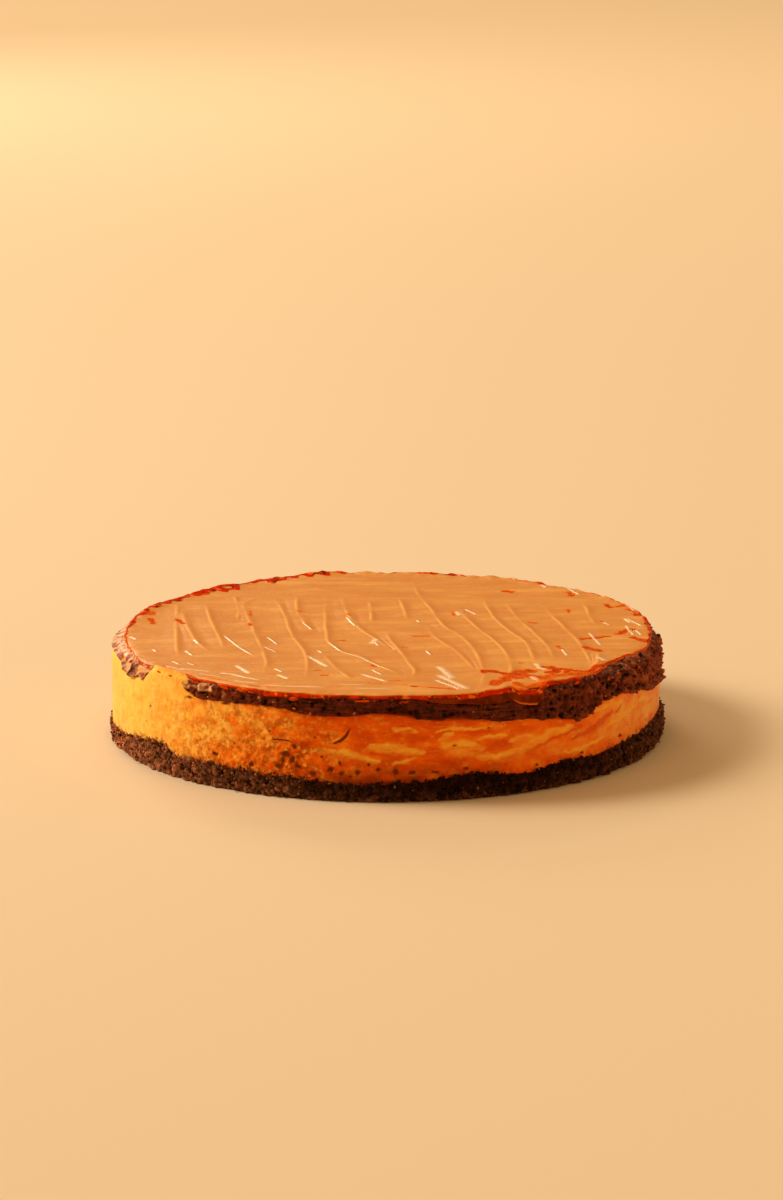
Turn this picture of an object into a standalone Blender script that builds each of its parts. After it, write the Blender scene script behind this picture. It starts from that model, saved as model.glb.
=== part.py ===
"""A whole round cheesecake, baked in a 24 cm springform tin and turned out.

From the bottom up: a pressed crumb crust, a baked curd filling, a crumbly chocolate
layer and a thin coat of milk caramel, spread in long strokes with a palette knife.
Lengths are in millimetres until a mesh is made. +Z is up, -Y is the front of the cake,
and the origin is the middle of the crust's flat underside.
"""

import math

import bpy
import numpy as np
from mathutils import Vector, noise

MM = 0.001

# The tin and the four layers
TIN_RADIUS = 120.0
CRUST_TOP = 10.2
FILLING_TOP = 36.8
CHOCOLATE_TOP = 43.4
CARAMEL_LEVEL = 45.0
LAYER_GAP = 0.3

# Where each layer meets the next at the side, as (degrees round from +X, height)
CRUST_EDGE = (
    (-172, 7.6), (-160, 9.3), (-149, 12.4), (-142, 14.2), (-136, 10.2), (-124, 10.4),
    (-110, 9.7), (-98, 7.8), (-85, 8.9), (-72, 11.2), (-62, 8.9), (-51, 11.0), (-42, 10.0),
    (-28, 12.0), (-14, 13.4), (6, 11.2), (31, 9.4), (62, 11.3), (96, 9.0), (131, 11.0), (160, 8.8),
)
FILLING_EDGE = (
    (-164, 39.0), (-158, 37.4), (-150, 38.8), (-144, 42.7), (-137, 42.6), (-132, 37.4),
    (-118, 38.3), (-110, 38.8), (-104, 36.5), (-91, 37.9), (-79, 34.7), (-62, 32.3),
    (-48, 28.0), (-39, 33.3), (-33, 33.4), (-16, 27.2), (-4, 26.2), (12, 31.0), (34, 34.5),
    (58, 33.0), (84, 37.0), (109, 35.2), (140, 38.4), (168, 36.8),
)
CHOCOLATE_EDGE = (
    (-166, 43.2), (-150, 42.8), (-140, 43.7), (-121, 43.6), (-112, 42.5), (-100, 43.6),
    (-86, 43.5), (-77, 41.2), (-67, 40.2), (-60, 43.4), (-44, 43.8), (-22, 43.9), (20, 43.3),
    (72, 43.6), (118, 42.9), (155, 43.3),
)
# How far out the caramel reaches, as (degrees round from +X, radius)
CARAMEL_OUTLINE = (
    (-168, 114.4), (-160, 115.4), (-150, 118.0), (-138, 116.2), (-123, 117.6), (-110, 119.0),
    (-96, 118.4), (-80, 117.8), (-64, 117.2), (-52, 116.8), (-42, 116.4), (-32, 111.8),
    (-25, 112.0), (-18, 115.8), (-8, 115.6), (4, 116.6), (14, 118.6), (36, 119.2), (60, 119.4),
    (90, 119.2), (106, 118.4), (120, 115.8), (136, 114.8), (150, 113.2), (160, 114.6), (175, 114.0),
)
# Where the chocolate's side turns in, as (degrees round from +X, share of its depth)
SHOULDER = (
    (-176, 0.66), (-158, 0.8), (-130, 0.86), (-60, 0.86), (-30, 0.8), (-10, 0.76), (14, 0.78),
    (40, 0.86), (95, 0.86), (115, 0.68), (150, 0.62),
)

# How far the foot and the meeting lines draw in from the tin's wall
FOOT_INSET = 1.2
CRUST_INSET = 0.3
FILLING_INSET = 0.5

# The crust's side: how far it spills out on the right, and its crumbs stand proud
CRUST_SPILL = 1.5
CRUST_CRAG = 1.1
LUMP_SIZE = 4.6

# The filling's side: slow waves where the tin's wall let go of it
FILLING_WAVE = 0.35
WAVE_SIZE = 26.0

# The chocolate's side: how far it swells on the right and shrinks on the left
CHOCOLATE_SWELL = 1.3
CHOCOLATE_SHRINK = 0.5
CHOCOLATE_CRAG = 0.9
FULL_CRAG_DEPTH = 4.0
SIDE_ARC = math.radians(140)

# The strokes of the palette knife, each rising to a crest and dropping to the next
STROKE_WIDTH = 13.6
STROKE_HEIGHT = 1.0
STROKE_LEAN = 0.19
STROKE_WANDER = 2.4
STROKE_BEND = 3.4
BEND_LENGTH = 41.0
CREST_AT = 0.84
STROKE_COLUMNS = (0.0, 0.3, 0.58, 0.76, CREST_AT, 0.93)
ROW_STEP = 10.0
SPREAD_REACH = 128.0
SPREAD_SWELL = 0.22

# The caramel's edge: a soft lip that rounds over to the top
LIP_SWELL = 0.5
LIP_DROP = 0.1
BROW_INSET = 2.2
BROW_RISE = 2.5

# How finely the round faces are divided
RIM_STEPS = 200
CAP_RINGS = ((1.0, RIM_STEPS), (0.93, 100), (0.75, 50), (0.4, 25))


def eased_ring(stations, angle):
    """A value all round the rim, easing from each (degrees, value) station to the next."""
    degrees, values = np.array(sorted(stations), float).T
    degrees = np.append(degrees, degrees[0] + 360)
    values = np.append(values, values[0])
    turned = (np.degrees(angle) - degrees[0]) % 360 + degrees[0]
    before = np.clip(np.searchsorted(degrees, turned, side="right") - 1, 0, len(degrees) - 2)
    share = (turned - degrees[before]) / (degrees[before + 1] - degrees[before])
    ease = share * share * (3 - 2 * share)
    return values[before] + (values[before + 1] - values[before]) * ease


def angles(count):
    return np.arange(count) * 2 * math.pi / count


def lumps(points, size):
    """Rounded crumbs of about this size, from -1 in the creases to 1 on the crowns."""
    return np.array([1 - 2 * noise.voronoi(Vector(point) / size)[0][0] for point in points])


def waves(points, size):
    return np.array([noise.noise(Vector(point) / size) for point in points])


def around(radius, angle, height):
    """Points at these radii, angles and heights."""
    angle = np.broadcast_to(angle, np.shape(radius))
    height = np.broadcast_to(height, np.shape(radius))
    return np.stack([radius * np.cos(angle), radius * np.sin(angle), height], axis=1)


def bridge(outer, inner):
    """Triangles between a ring of points and one inside it, with as many points or half."""
    count, ratio = len(outer), len(outer) // len(inner)
    faces = []
    for i in range(len(inner)):
        after = (i + 1) % len(inner)
        first = i * ratio
        for step in range(ratio):
            faces.append((outer[first + step], outer[(first + step + 1) % count], inner[i]))
        faces.append((outer[(first + ratio) % count], inner[after], inner[i]))
    return faces


def cap(points, faces, rim, middle_height, facing_up):
    """Closes a rim with rings that settle to one height, and turns the faces up or down."""
    reach = np.hypot(rim[:, 0], rim[:, 1])
    rings = [list(range(len(points), len(points) + len(rim)))]
    points.extend(rim)
    for share, steps in CAP_RINGS[1:]:
        start = len(points)
        every = reach[:: RIM_STEPS // steps]
        points.extend(around(every * share, angles(steps), middle_height))
        rings.append(list(range(start, start + steps)))
    points.append((0.0, 0.0, middle_height))
    centre = len(points) - 1
    made = []
    for outer, inner in zip(rings, rings[1:]):
        made.extend(bridge(outer, inner))
    last = rings[-1]
    made.extend((last[i], last[(i + 1) % len(last)], centre) for i in range(len(last)))
    faces.extend(made if facing_up else [face[::-1] for face in made])
    return rings[0]


def wall(points, faces, lower_rim, upper_rim, rows):
    """The side of a layer, through rows of points from its lower rim to its upper one."""
    rings = [lower_rim]
    for row in rows:
        rings.append(list(range(len(points), len(points) + RIM_STEPS)))
        points.extend(row)
    rings.append(upper_rim)
    for below, above in zip(rings, rings[1:]):
        for i in range(RIM_STEPS):
            after = (i + 1) % RIM_STEPS
            faces.append((below[i], below[after], above[after]))
            faces.append((below[i], above[after], above[i]))


def solid(name, points, faces):
    mesh = bpy.data.meshes.new(name)
    mesh.from_pydata([Vector(point) * MM for point in points], [], faces)
    mesh.validate()
    piece = bpy.data.objects.new(name, mesh)
    bpy.context.scene.collection.objects.link(piece)
    return piece


def layer(name, lower_rim, upper_rim, lower_middle, upper_middle, rows):
    points, faces = [], []
    lower = cap(points, faces, lower_rim, lower_middle, facing_up=False)
    upper = cap(points, faces, upper_rim, upper_middle, facing_up=True)
    wall(points, faces, lower, upper, rows)
    return solid(name, points, faces)


def finish(piece, colour, roughness, smooth_to=0):
    """Gives a piece its material, and shades it smooth up to this angle between faces."""
    material = bpy.data.materials.new(piece.name)
    material.use_nodes = True
    surface = material.node_tree.nodes["Principled BSDF"]
    surface.inputs["Base Color"].default_value = (*colour, 1.0)
    surface.inputs["Roughness"].default_value = roughness
    surface.inputs["Metallic"].default_value = 0.0
    piece.data.materials.append(material)
    if smooth_to:
        piece.data.shade_smooth()
        piece.data.set_sharp_from_angle(angle=math.radians(smooth_to))
    return piece


RIM = angles(RIM_STEPS)


def meeting_rim(stations, radius):
    """The line where two layers meet at the side."""
    return around(np.broadcast_to(radius, RIM.shape), RIM, eased_ring(stations, RIM))


CRUST_RIM = meeting_rim(CRUST_EDGE, TIN_RADIUS - CRUST_INSET)
FILLING_RIM = meeting_rim(FILLING_EDGE, TIN_RADIUS - FILLING_INSET)
CHOCOLATE_RIM = meeting_rim(CHOCOLATE_EDGE, eased_ring(CARAMEL_OUTLINE, RIM))


def raised(rim):
    """The underside of the layer above a meeting line, a hair's breadth clear of it."""
    return rim + np.array((0.0, 0.0, LAYER_GAP))


def side_rows(lower_rim, upper_rim, shares, radius, relief):
    """Rows of points up a layer's side, at shares of its height, standing out by the relief."""
    rows = []
    for share in shares:
        height = lower_rim[:, 2] + (upper_rim[:, 2] - lower_rim[:, 2]) * share
        flat = around(np.full(RIM_STEPS, TIN_RADIUS), RIM, height)
        reach = radius(share) + relief(flat)
        rows.append(around(reach, RIM, height))
    return rows


def crust():
    """Crushed biscuit pressed in the tin's bottom: its side crumbles, most on the right."""
    foot = around(np.full(RIM_STEPS, TIN_RADIUS - FOOT_INSET), RIM, 0.0)
    spill = CRUST_SPILL * np.clip(np.cos(RIM), 0, 1)
    rows = side_rows(
        foot,
        CRUST_RIM,
        (0.14, 0.42, 0.7, 0.92),
        lambda share: TIN_RADIUS + (spill - 0.2) * math.sin(math.pi * share) ** 0.5,
        lambda flat: CRUST_CRAG * lumps(flat, LUMP_SIZE),
    )
    made = layer("base_crust", foot, CRUST_RIM, 0.0, CRUST_TOP, rows)
    return finish(made, (0.035, 0.012, 0.006), 0.85)


def filling():
    """The baked curd, smooth where the tin's wall held it."""
    lower = raised(CRUST_RIM)
    rows = side_rows(
        lower,
        FILLING_RIM,
        (0.05, 0.5, 0.95),
        lambda share: TIN_RADIUS,
        lambda flat: FILLING_WAVE * waves(flat, WAVE_SIZE),
    )
    made = layer("filling", lower, FILLING_RIM, CRUST_TOP + LAYER_GAP, FILLING_TOP, rows)
    return finish(made, (0.86, 0.5, 0.12), 0.45, smooth_to=40)


def chocolate_layer():
    """Chocolate crumb that swells at the right and thins to a line at the front left."""
    lower = raised(FILLING_RIM)
    swell = CHOCOLATE_SWELL * np.clip(np.cos(RIM + 0.3), 0, 1)
    shrink = CHOCOLATE_SHRINK * np.clip(-np.cos(RIM), 0, 1)
    depth = CHOCOLATE_RIM[:, 2] - lower[:, 2]
    crag = CHOCOLATE_CRAG * np.clip(depth / FULL_CRAG_DEPTH, 0.1, 1.0)
    turned_in = lower + np.outer(eased_ring(SHOULDER, RIM) * depth, (0.0, 0.0, 1.0))
    rows = side_rows(
        lower,
        turned_in,
        (0.14, 0.58, 1.0),
        lambda share: TIN_RADIUS - 0.2 + (swell - shrink) * math.sin(SIDE_ARC * share),
        lambda flat: crag * lumps(flat, LUMP_SIZE),
    )
    middle = FILLING_TOP + LAYER_GAP
    made = layer("chocolate_layer", lower, CHOCOLATE_RIM, middle, CHOCOLATE_TOP, rows)
    return finish(made, (0.05, 0.018, 0.009), 0.75)


def stroke_place(stroke, y):
    """Where a stroke's edge, counted in strokes from the middle, runs at this depth."""
    wander = STROKE_WANDER * np.sin(2.3 * stroke)
    bend = STROKE_BEND * np.sin(y / BEND_LENGTH + 0.35 * stroke)
    return STROKE_WIDTH * stroke + wander - STROKE_LEAN * y - bend


def spread_height(stroke, y):
    """Height of the spread caramel: each stroke rises to a crest, then drops to the next."""
    share = stroke - np.floor(stroke)
    rise = np.clip(share / CREST_AT, 0, 1) ** 1.7
    fall = np.clip((1 - share) / (1 - CREST_AT), 0, 1) ** 1.4
    number = np.floor(stroke)
    strength = 0.72 + 0.28 * np.sin(1.9 * number + y / 23)
    swell = SPREAD_SWELL * np.sin(y / 29 + 0.8 * stroke)
    return CARAMEL_LEVEL + swell + STROKE_HEIGHT * strength * np.minimum(rise, fall)


def spread_slab():
    """The strokes laid side by side, past the cake's edge, as a closed slab."""
    most = math.ceil(SPREAD_REACH * (1 + STROKE_LEAN) / STROKE_WIDTH) + 1
    strokes = np.array([n + share for n in range(-most, most) for share in STROKE_COLUMNS])
    rows = np.arange(-SPREAD_REACH, SPREAD_REACH + ROW_STEP, ROW_STEP)
    stroke, y = (grid.ravel() for grid in np.meshgrid(strokes, rows))
    x = stroke_place(stroke, y)
    top = np.stack([x, y, spread_height(stroke, y)], axis=1)
    bottom = np.stack([x, y, np.full_like(x, FILLING_TOP)], axis=1)
    across, count = len(strokes), len(x)
    faces = []
    for row in range(len(rows) - 1):
        for column in range(across - 1):
            here = row * across + column
            quad = (here, here + 1, here + across + 1, here + across)
            faces.append(quad)
            faces.append(tuple(count + i for i in reversed(quad)))
    front = list(range(across))
    right = [row * across + across - 1 for row in range(len(rows))]
    back = [count - 1 - i for i in range(across)]
    left = [row * across for row in reversed(range(len(rows)))]
    for edge in (front, right, back, left):
        faces.extend((a + count, b + count, b, a) for a, b in zip(edge, edge[1:]))
    return solid("spread_slab", np.concatenate([top, bottom]), faces)


def spread_cutter():
    """The caramel's outline: it sits on the chocolate, swells a little and rounds over."""
    lower = raised(CHOCOLATE_RIM)
    reach = np.hypot(lower[:, 0], lower[:, 1])
    lip = CARAMEL_LEVEL - LIP_DROP
    top = CARAMEL_LEVEL + BROW_RISE
    brow = around(reach - BROW_INSET, RIM, top)
    rows = [
        around(reach + LIP_SWELL, RIM, lower[:, 2] + (lip - lower[:, 2]) * 0.55),
        around(reach + LIP_SWELL / 2, RIM, lip),
    ]
    return layer("spread_cutter", lower, brow, CHOCOLATE_TOP + LAYER_GAP, top, rows)


def caramel_topping():
    slab, cutter = spread_slab(), spread_cutter()
    cut = slab.modifiers.new("outline", "BOOLEAN")
    cut.operation, cut.solver, cut.object = "INTERSECT", "EXACT", cutter
    graph = bpy.context.evaluated_depsgraph_get()
    mesh = bpy.data.meshes.new_from_object(slab.evaluated_get(graph))
    for helper in (slab, cutter):
        bpy.data.objects.remove(helper)
    mesh.name = "caramel_topping"
    made = bpy.data.objects.new("caramel_topping", mesh)
    bpy.context.scene.collection.objects.link(made)
    return finish(made, (0.62, 0.27, 0.075), 0.22, smooth_to=30)


for leftover in list(bpy.data.objects):
    bpy.data.objects.remove(leftover)
crust()
filling()
chocolate_layer()
caramel_topping()
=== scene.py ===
"""A whole round cheesecake: crumb crust, baked filling, chocolate crumb and spread caramel.

Lengths are in millimetres until a mesh is made. +Z is up and -Y is the front.
"""

import math

import bpy
import numpy as np
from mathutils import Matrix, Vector, noise


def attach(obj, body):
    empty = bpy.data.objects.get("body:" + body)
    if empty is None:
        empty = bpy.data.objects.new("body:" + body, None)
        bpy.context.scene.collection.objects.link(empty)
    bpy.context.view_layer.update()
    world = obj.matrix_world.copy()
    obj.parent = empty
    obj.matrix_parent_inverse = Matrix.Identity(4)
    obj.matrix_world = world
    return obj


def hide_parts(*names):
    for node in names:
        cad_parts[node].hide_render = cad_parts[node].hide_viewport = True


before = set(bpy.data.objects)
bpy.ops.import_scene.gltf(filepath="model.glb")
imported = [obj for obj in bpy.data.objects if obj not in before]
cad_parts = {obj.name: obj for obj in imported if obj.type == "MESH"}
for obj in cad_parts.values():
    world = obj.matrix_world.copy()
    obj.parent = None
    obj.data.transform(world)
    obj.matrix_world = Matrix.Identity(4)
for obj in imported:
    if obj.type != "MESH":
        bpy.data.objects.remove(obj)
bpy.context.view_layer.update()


# The crust: crushed dark biscuit and butter, pressed into the bottom of the tin and baked
# under the filling. Its side is torn crumb, and on the right it spills out a little.
MM = 0.001
TIN_RADIUS = 120.0
CRUST_STEPS = 1500
CRUST_ROWS = 24
CRUST_FOOT_INSET = 1.2
CRUST_SPILL = 1.5
# How high and how wide its crumbs are, and how far in and up its hidden top goes
CRUST_LUMPS = ((1.0, 4.6), (0.65, 2.3), (0.35, 1.2))
CRUST_TOP = ((0.9, 0.7), (2.1, 1.1), (3.6, 1.2))
# Where the crust ends, as (degrees round, height)
CRUST_EDGE = (
    (-172, 7.6), (-160, 9.3), (-149, 12.4), (-142, 14.2), (-136, 10.2), (-124, 10.4),
    (-110, 9.7), (-98, 7.8), (-85, 8.9), (-72, 11.2), (-62, 8.9), (-51, 11.0), (-42, 10.0),
    (-28, 12.0), (-14, 13.4), (6, 11.2), (31, 9.4), (62, 11.3), (96, 9.0), (131, 11.0), (160, 8.8),
)
# How brown and buttery the crumb is round the cake
CRUST_BROWNED = (
    (-172, 1.0), (-150, 0.9), (-138, 0.68), (-124, 0.45), (-112, 0.42), (-104, 0.08), (-85, 0.0),
    (-60, 0.0), (-46, 0.04), (-35, 0.12), (-20, 0.22), (-5, 0.3), (30, 0.2), (80, 0.25), (120, 0.2),
    (150, 0.6),
)
# CRUMB_DARK is painted shade for the creases between crumbs
CRUMB_DARK = (0.006, 0.0012, 0.0004)
CRUMB_BROWN = (0.027, 0.0058, 0.0016)
CRUMB_BUTTERY = (0.82, 0.28, 0.115)
CRUMB_PALE = (0.34, 0.15, 0.055)


def angles(count):
    return np.arange(count) * 2 * math.pi / count


def eased_ring(stations, angle):
    """A value all round the cake, easing from each (degrees, value) station to the next."""
    degrees, values = np.array(sorted(stations), float).T
    degrees = np.append(degrees, degrees[0] + 360)
    values = np.append(values, values[0])
    turned = (np.degrees(angle) - degrees[0]) % 360 + degrees[0]
    before = np.clip(np.searchsorted(degrees, turned, side="right") - 1, 0, len(degrees) - 2)
    share = (turned - degrees[before]) / (degrees[before + 1] - degrees[before])
    ease = share * share * (3 - 2 * share)
    return values[before] + (values[before + 1] - values[before]) * ease


def around(radius, angle, height):
    """Points at these radii, angles and heights."""
    radius, angle, height = np.broadcast_arrays(radius, angle, height)
    return np.stack([radius * np.cos(angle), radius * np.sin(angle), height], axis=-1)


def lumps(points, size):
    """Rounded crumbs of about this size: 1 on each crown, down to -1 in the creases."""
    flat = np.reshape(points, (-1, 3)) / size
    found = [1 - 2 * noise.voronoi(Vector(point))[0][0] for point in flat]
    return np.reshape(found, np.shape(points)[:-1])


def waves(points, size):
    """Soft unevenness of about this size, from -1 to 1."""
    flat = np.reshape(points, (-1, 3)) / size
    return np.reshape([noise.noise(Vector(point)) for point in flat], np.shape(points)[:-1])


def crumbled(points, crumbs):
    """Crowns of crumb for each (height, size), and the relief that they make together."""
    crowns = [lumps(points, size) for _, size in crumbs]
    return crowns, sum(high * crown for (high, _), crown in zip(crumbs, crowns))


def quads_between(index):
    """Faces between rings of points, given the points' numbers."""
    beside = np.roll(index, -1, axis=1)
    quads = np.stack([index[:-1], beside[:-1], beside[1:], index[1:]], axis=-1)
    return quads.reshape(-1, 4).tolist()


def skin(name, rows, paint, under=False):
    """A smooth skin through rings of points, with named shares of paint at every point."""
    points = np.concatenate(rows)
    index = np.arange(len(points)).reshape(len(rows), -1)
    faces = quads_between(index)
    if under:
        faces.append(index[0][::-1].tolist())
    return piece_of(name, points, faces, paint)


def piece_of(name, points, faces, paint):
    mesh = bpy.data.meshes.new(name)
    mesh.from_pydata((np.asarray(points) * MM).tolist(), [], faces)
    mesh.shade_smooth()
    for share, values in paint.items():
        layer = mesh.attributes.new(share, "FLOAT", "POINT")
        layer.data.foreach_set("value", np.ravel(values).astype(np.float32))
    piece = bpy.data.objects.new(name, mesh)
    bpy.context.scene.collection.objects.link(piece)
    return piece


class Share:
    """A number that a material works out at each point. The usual signs work on it."""

    def __init__(self, node, output):
        self.socket = node.outputs[output]

    def reckon(self, operation, first, second):
        inputs = {0: first, 1: second}
        return Share(add_node(self.socket.id_data, "Math", inputs, operation=operation), "Value")

    def __add__(self, other):
        return self.reckon("ADD", self, other)

    def __sub__(self, other):
        return self.reckon("SUBTRACT", self, other)

    def __rsub__(self, other):
        return self.reckon("SUBTRACT", other, self)

    def __mul__(self, other):
        return self.reckon("MULTIPLY", self, other)

    def most(self, other):
        return self.reckon("MAXIMUM", self, other)

    def least(self, other):
        return self.reckon("MINIMUM", self, other)

    def between(self, low, high, low_to=0.0, high_to=1.0):
        """Brings the range from low to high onto another, and holds it there."""
        inputs = {
            "Value": self, "From Min": low, "From Max": high, "To Min": low_to, "To Max": high_to,
        }
        return Share(add_node(self.socket.id_data, "MapRange", inputs), "Result")


def add_node(tree, kind, inputs=None, **settings):
    """Adds a shader node. Each input is a value, or a share or an output to link."""
    made = tree.nodes.new("ShaderNode" + kind)
    for name, value in settings.items():
        setattr(made, name, value)
    for key, value in (inputs or {}).items():
        value = value.socket if isinstance(value, Share) else value
        if isinstance(value, bpy.types.NodeSocket):
            tree.links.new(value, made.inputs[key])
        else:
            made.inputs[key].default_value = value
    return made


def share_of(tree, name):
    return Share(add_node(tree, "Attribute", attribute_name=name), "Fac")


def place_in(tree, stretch=(1, 1, 1)):
    """The place on the cake, in millimetres, squeezed or stretched along each axis."""
    here = add_node(tree, "TexCoord").outputs["Object"]
    scale = tuple(1 / (MM * s) for s in stretch)
    return add_node(tree, "Mapping", {"Vector": here, "Scale": scale}).outputs["Vector"]


def mottle(place, size, detail=3.0, rough=0.55):
    """Cloudy shares from 0 to 1, of about this size."""
    inputs = {"Vector": place, "Scale": 1 / size, "Detail": detail, "Roughness": rough}
    return Share(add_node(place.id_data, "TexNoise", inputs), "Fac")


def grains_in(place, size):
    """The distance from the middle of the nearest grain of about this size."""
    inputs = {"Vector": place, "Scale": 1 / size}
    return Share(add_node(place.id_data, "TexVoronoi", inputs), "Distance")


def mixed(share, first, second):
    """The first colour where the share is 0, and the second where it is 1."""
    first, second = (
        (*colour, 1.0) if isinstance(colour, tuple) else colour for colour in (first, second)
    )
    inputs = {0: share, 6: first, 7: second}
    return add_node(share.socket.id_data, "Mix", inputs, data_type="RGBA").outputs[2]


def raised_by(height, distance, before=None):
    """A bump of this many millimetres, on top of an earlier one."""
    inputs = {"Height": height, "Distance": distance * MM, "Strength": 1.0}
    if before:
        inputs["Normal"] = before
    return add_node(height.socket.id_data, "Bump", inputs).outputs["Normal"]


def new_finish(name, specular=0.5, tint=(1, 1, 1), deep=0.0, deep_reach=(1, 1, 1)):
    """A material with its constant sockets set; deep is how much light travels inside."""
    material = bpy.data.materials.new(name)
    material.use_nodes = True
    surface = material.node_tree.nodes["Principled BSDF"]
    surface.inputs["Specular IOR Level"].default_value = specular
    surface.inputs["Specular Tint"].default_value = (*tint, 1.0)
    surface.inputs["Subsurface Weight"].default_value = deep
    surface.inputs["Subsurface Radius"].default_value = deep_reach
    surface.inputs["Subsurface Scale"].default_value = MM
    return material, material.node_tree, surface


def set_finish(surface, colour, roughness, normal):
    links = surface.id_data.links
    links.new(colour, surface.inputs["Base Color"])
    links.new(roughness.socket, surface.inputs["Roughness"])
    links.new(normal, surface.inputs["Normal"])


def crumb_finish(name, shades, gloss, smoothest, grit, coating=None):
    """Torn crumb: painted shade in its creases, brown crowns, buttery patches that on the chocolate
    are partly painted fill light, and a few pale flecks.
    """
    dark, brown, buttery, pale = shades
    material, tree, surface = new_finish(name, gloss, (1.0, 0.6, 0.45))
    here = place_in(tree)
    grain = grains_in(here, 1.3)
    lift = share_of(tree, "crown") + mottle(here, 2.2, 2.0) - grain.between(0.2, 0.9, 0.0, 0.6)
    cloud = mottle(here, 3.4, 2.0).between(0.36, 0.62, 0.35, 1.0)
    crown = mixed(share_of(tree, "browned") * cloud, brown, buttery)
    # Painted shade: low crown shares, in the creases between crumbs and in cavities, take the dark shade
    colour = mixed(lift.between(-0.6, 1.2), dark, crown)
    fleck = grains_in(place_in(tree, (1, 1, 1.4)), 2.9).between(0.2, 0.13)
    colour = mixed(fleck * mottle(here, 5.0).between(0.52, 0.6), colour, pale)
    torn = 1.0
    if coating:
        smear = mottle(place_in(tree, (1.5, 1.5, 0.9)), 3.8, 3.0, 0.5)
        coat = share_of(tree, "coat") + smear.between(0.25, 0.75, -0.5, 0.5)
        coat = coat.between(0.44, 0.72)
        # Painted sheen: the coat's pale milky blotches stand in for glossy highlights
        milky = mixed(mottle(here, 4.2, 3.0, 0.5).between(0.42, 0.6), *coating)
        colour = mixed(coat, colour, milky)
        torn = 1.0 - coat
    normal = raised_by(grain * torn, -grit)
    normal = raised_by(grains_in(here, 0.7) * torn, -0.35 * grit, normal)
    roughness = mottle(here, 1.1).between(0.35, 0.7, smoothest, 0.9)
    set_finish(surface, colour, roughness, normal)
    return material


turn = angles(CRUST_STEPS)
foot = around(TIN_RADIUS - CRUST_FOOT_INSET, turn, 0.0)
crust_edge = eased_ring(CRUST_EDGE, turn)
crust_edge = crust_edge + 1.1 * waves(around(TIN_RADIUS, turn, 3.0), 3.4)
crust_edge = crust_edge + 0.45 * waves(around(TIN_RADIUS, turn, 8.0), 1.5)
browned = eased_ring(CRUST_BROWNED, turn)
crust_rows, crust_paint = [foot], {"crown": [np.full(CRUST_STEPS, -0.4)], "browned": [browned]}
to_right = np.clip(np.cos(turn), 0, 1)
for share in np.linspace(0.04, 1.0, CRUST_ROWS):
    crowns, relief = crumbled(around(TIN_RADIUS, turn, crust_edge * share), CRUST_LUMPS)
    relief = relief * (1 + 0.4 * to_right)
    bulge = (CRUST_SPILL * to_right - 0.2) * math.sin(math.pi * min(share, 0.94)) ** 0.5
    crust_rows.append(around(TIN_RADIUS + bulge + relief, turn, crust_edge * share))
    crust_paint["crown"].append(0.4 * crowns[0] + 0.6 * crowns[1] + 0.5 * crowns[2])
    crust_paint["browned"].append(browned + 0.35 * np.exp(-crust_edge * share / 2.5))
for inward, rise in CRUST_TOP:
    crust_rows.append(around(TIN_RADIUS - inward + relief * 0.8, turn, crust_edge + rise))
    for share, values in crust_paint.items():
        values.append(values[-1])

crust = skin("crust", crust_rows, crust_paint, under=True)
crust_shades = (CRUMB_DARK, CRUMB_BROWN, CRUMB_BUTTERY, CRUMB_PALE)
crust.data.materials.append(crumb_finish("crust_crumb", crust_shades, 0.12, 0.5, 0.42))
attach(crust, "root")
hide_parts("base_crust")


# The loose grains of the crust: biscuit crumbs that cling to its torn side and to the foot
# of the filling. The tin pressed them there, and some stand half out.
GRAIN_COUNT = 3000
GRAIN_SIZE = (0.45, 1.25)
STUCK_SHARE = 0.02
TWENTY_SIDES = (
    (0, 11, 5), (0, 5, 1), (0, 1, 7), (0, 7, 10), (0, 10, 11), (1, 5, 9), (5, 11, 4),
    (11, 10, 2), (10, 7, 6), (7, 1, 8), (3, 9, 4), (3, 4, 2), (3, 2, 6), (3, 6, 8),
    (3, 8, 9), (4, 9, 5), (2, 4, 11), (6, 2, 10), (8, 6, 7), (9, 8, 1),
)


def scatter(name, places, sizes, browned, draw):
    """Joined rough grains of twenty sides, each turned and dented its own way."""
    gold = (1 + 5 ** 0.5) / 2
    ball = np.array([
        (-1, gold, 0), (1, gold, 0), (-1, -gold, 0), (1, -gold, 0), (0, -1, gold), (0, 1, gold),
        (0, -1, -gold), (0, 1, -gold), (gold, 0, -1), (gold, 0, 1), (-gold, 0, -1), (-gold, 0, 1),
    ]) / math.hypot(1, gold)
    count = len(places)
    turns = draw.normal(size=(count, 3, 3))
    turns, _ = np.linalg.qr(turns)
    dents = draw.uniform(0.62, 1.2, (count, 12, 1))
    squash = draw.uniform(0.6, 1.0, (count, 1, 3))
    grains = np.einsum("nij,nkj->nki", turns, ball[None] * dents * squash)
    points = places[:, None, :] + grains * sizes[:, None, None]
    paint = {
        "crown": np.repeat(draw.uniform(-0.7, 1.3, count), 12),
        "browned": np.repeat(browned * draw.uniform(0.3, 1.7, count), 12),
    }
    faces = (np.arange(count)[:, None, None] * 12 + np.array(TWENTY_SIDES)[None]).reshape(-1, 3)
    return piece_of(name, points.reshape(-1, 3), faces.tolist(), paint)


draw = np.random.default_rng(7)
grain_turn = draw.uniform(0, 2 * math.pi, GRAIN_COUNT)
grain_size = draw.uniform(*GRAIN_SIZE, GRAIN_COUNT) * draw.uniform(0.6, 1.0, GRAIN_COUNT)
grain_high = draw.uniform(0.04, 1.08, GRAIN_COUNT) ** 0.8 * eased_ring(CRUST_EDGE, grain_turn)
grain_high = np.maximum(grain_high, grain_size * 0.9)
grain_out = TIN_RADIUS + CRUST_SPILL * np.clip(np.cos(grain_turn), 0, 1) * 0.8
grain_out = grain_out + draw.uniform(-0.6, 0.9, GRAIN_COUNT)
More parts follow.
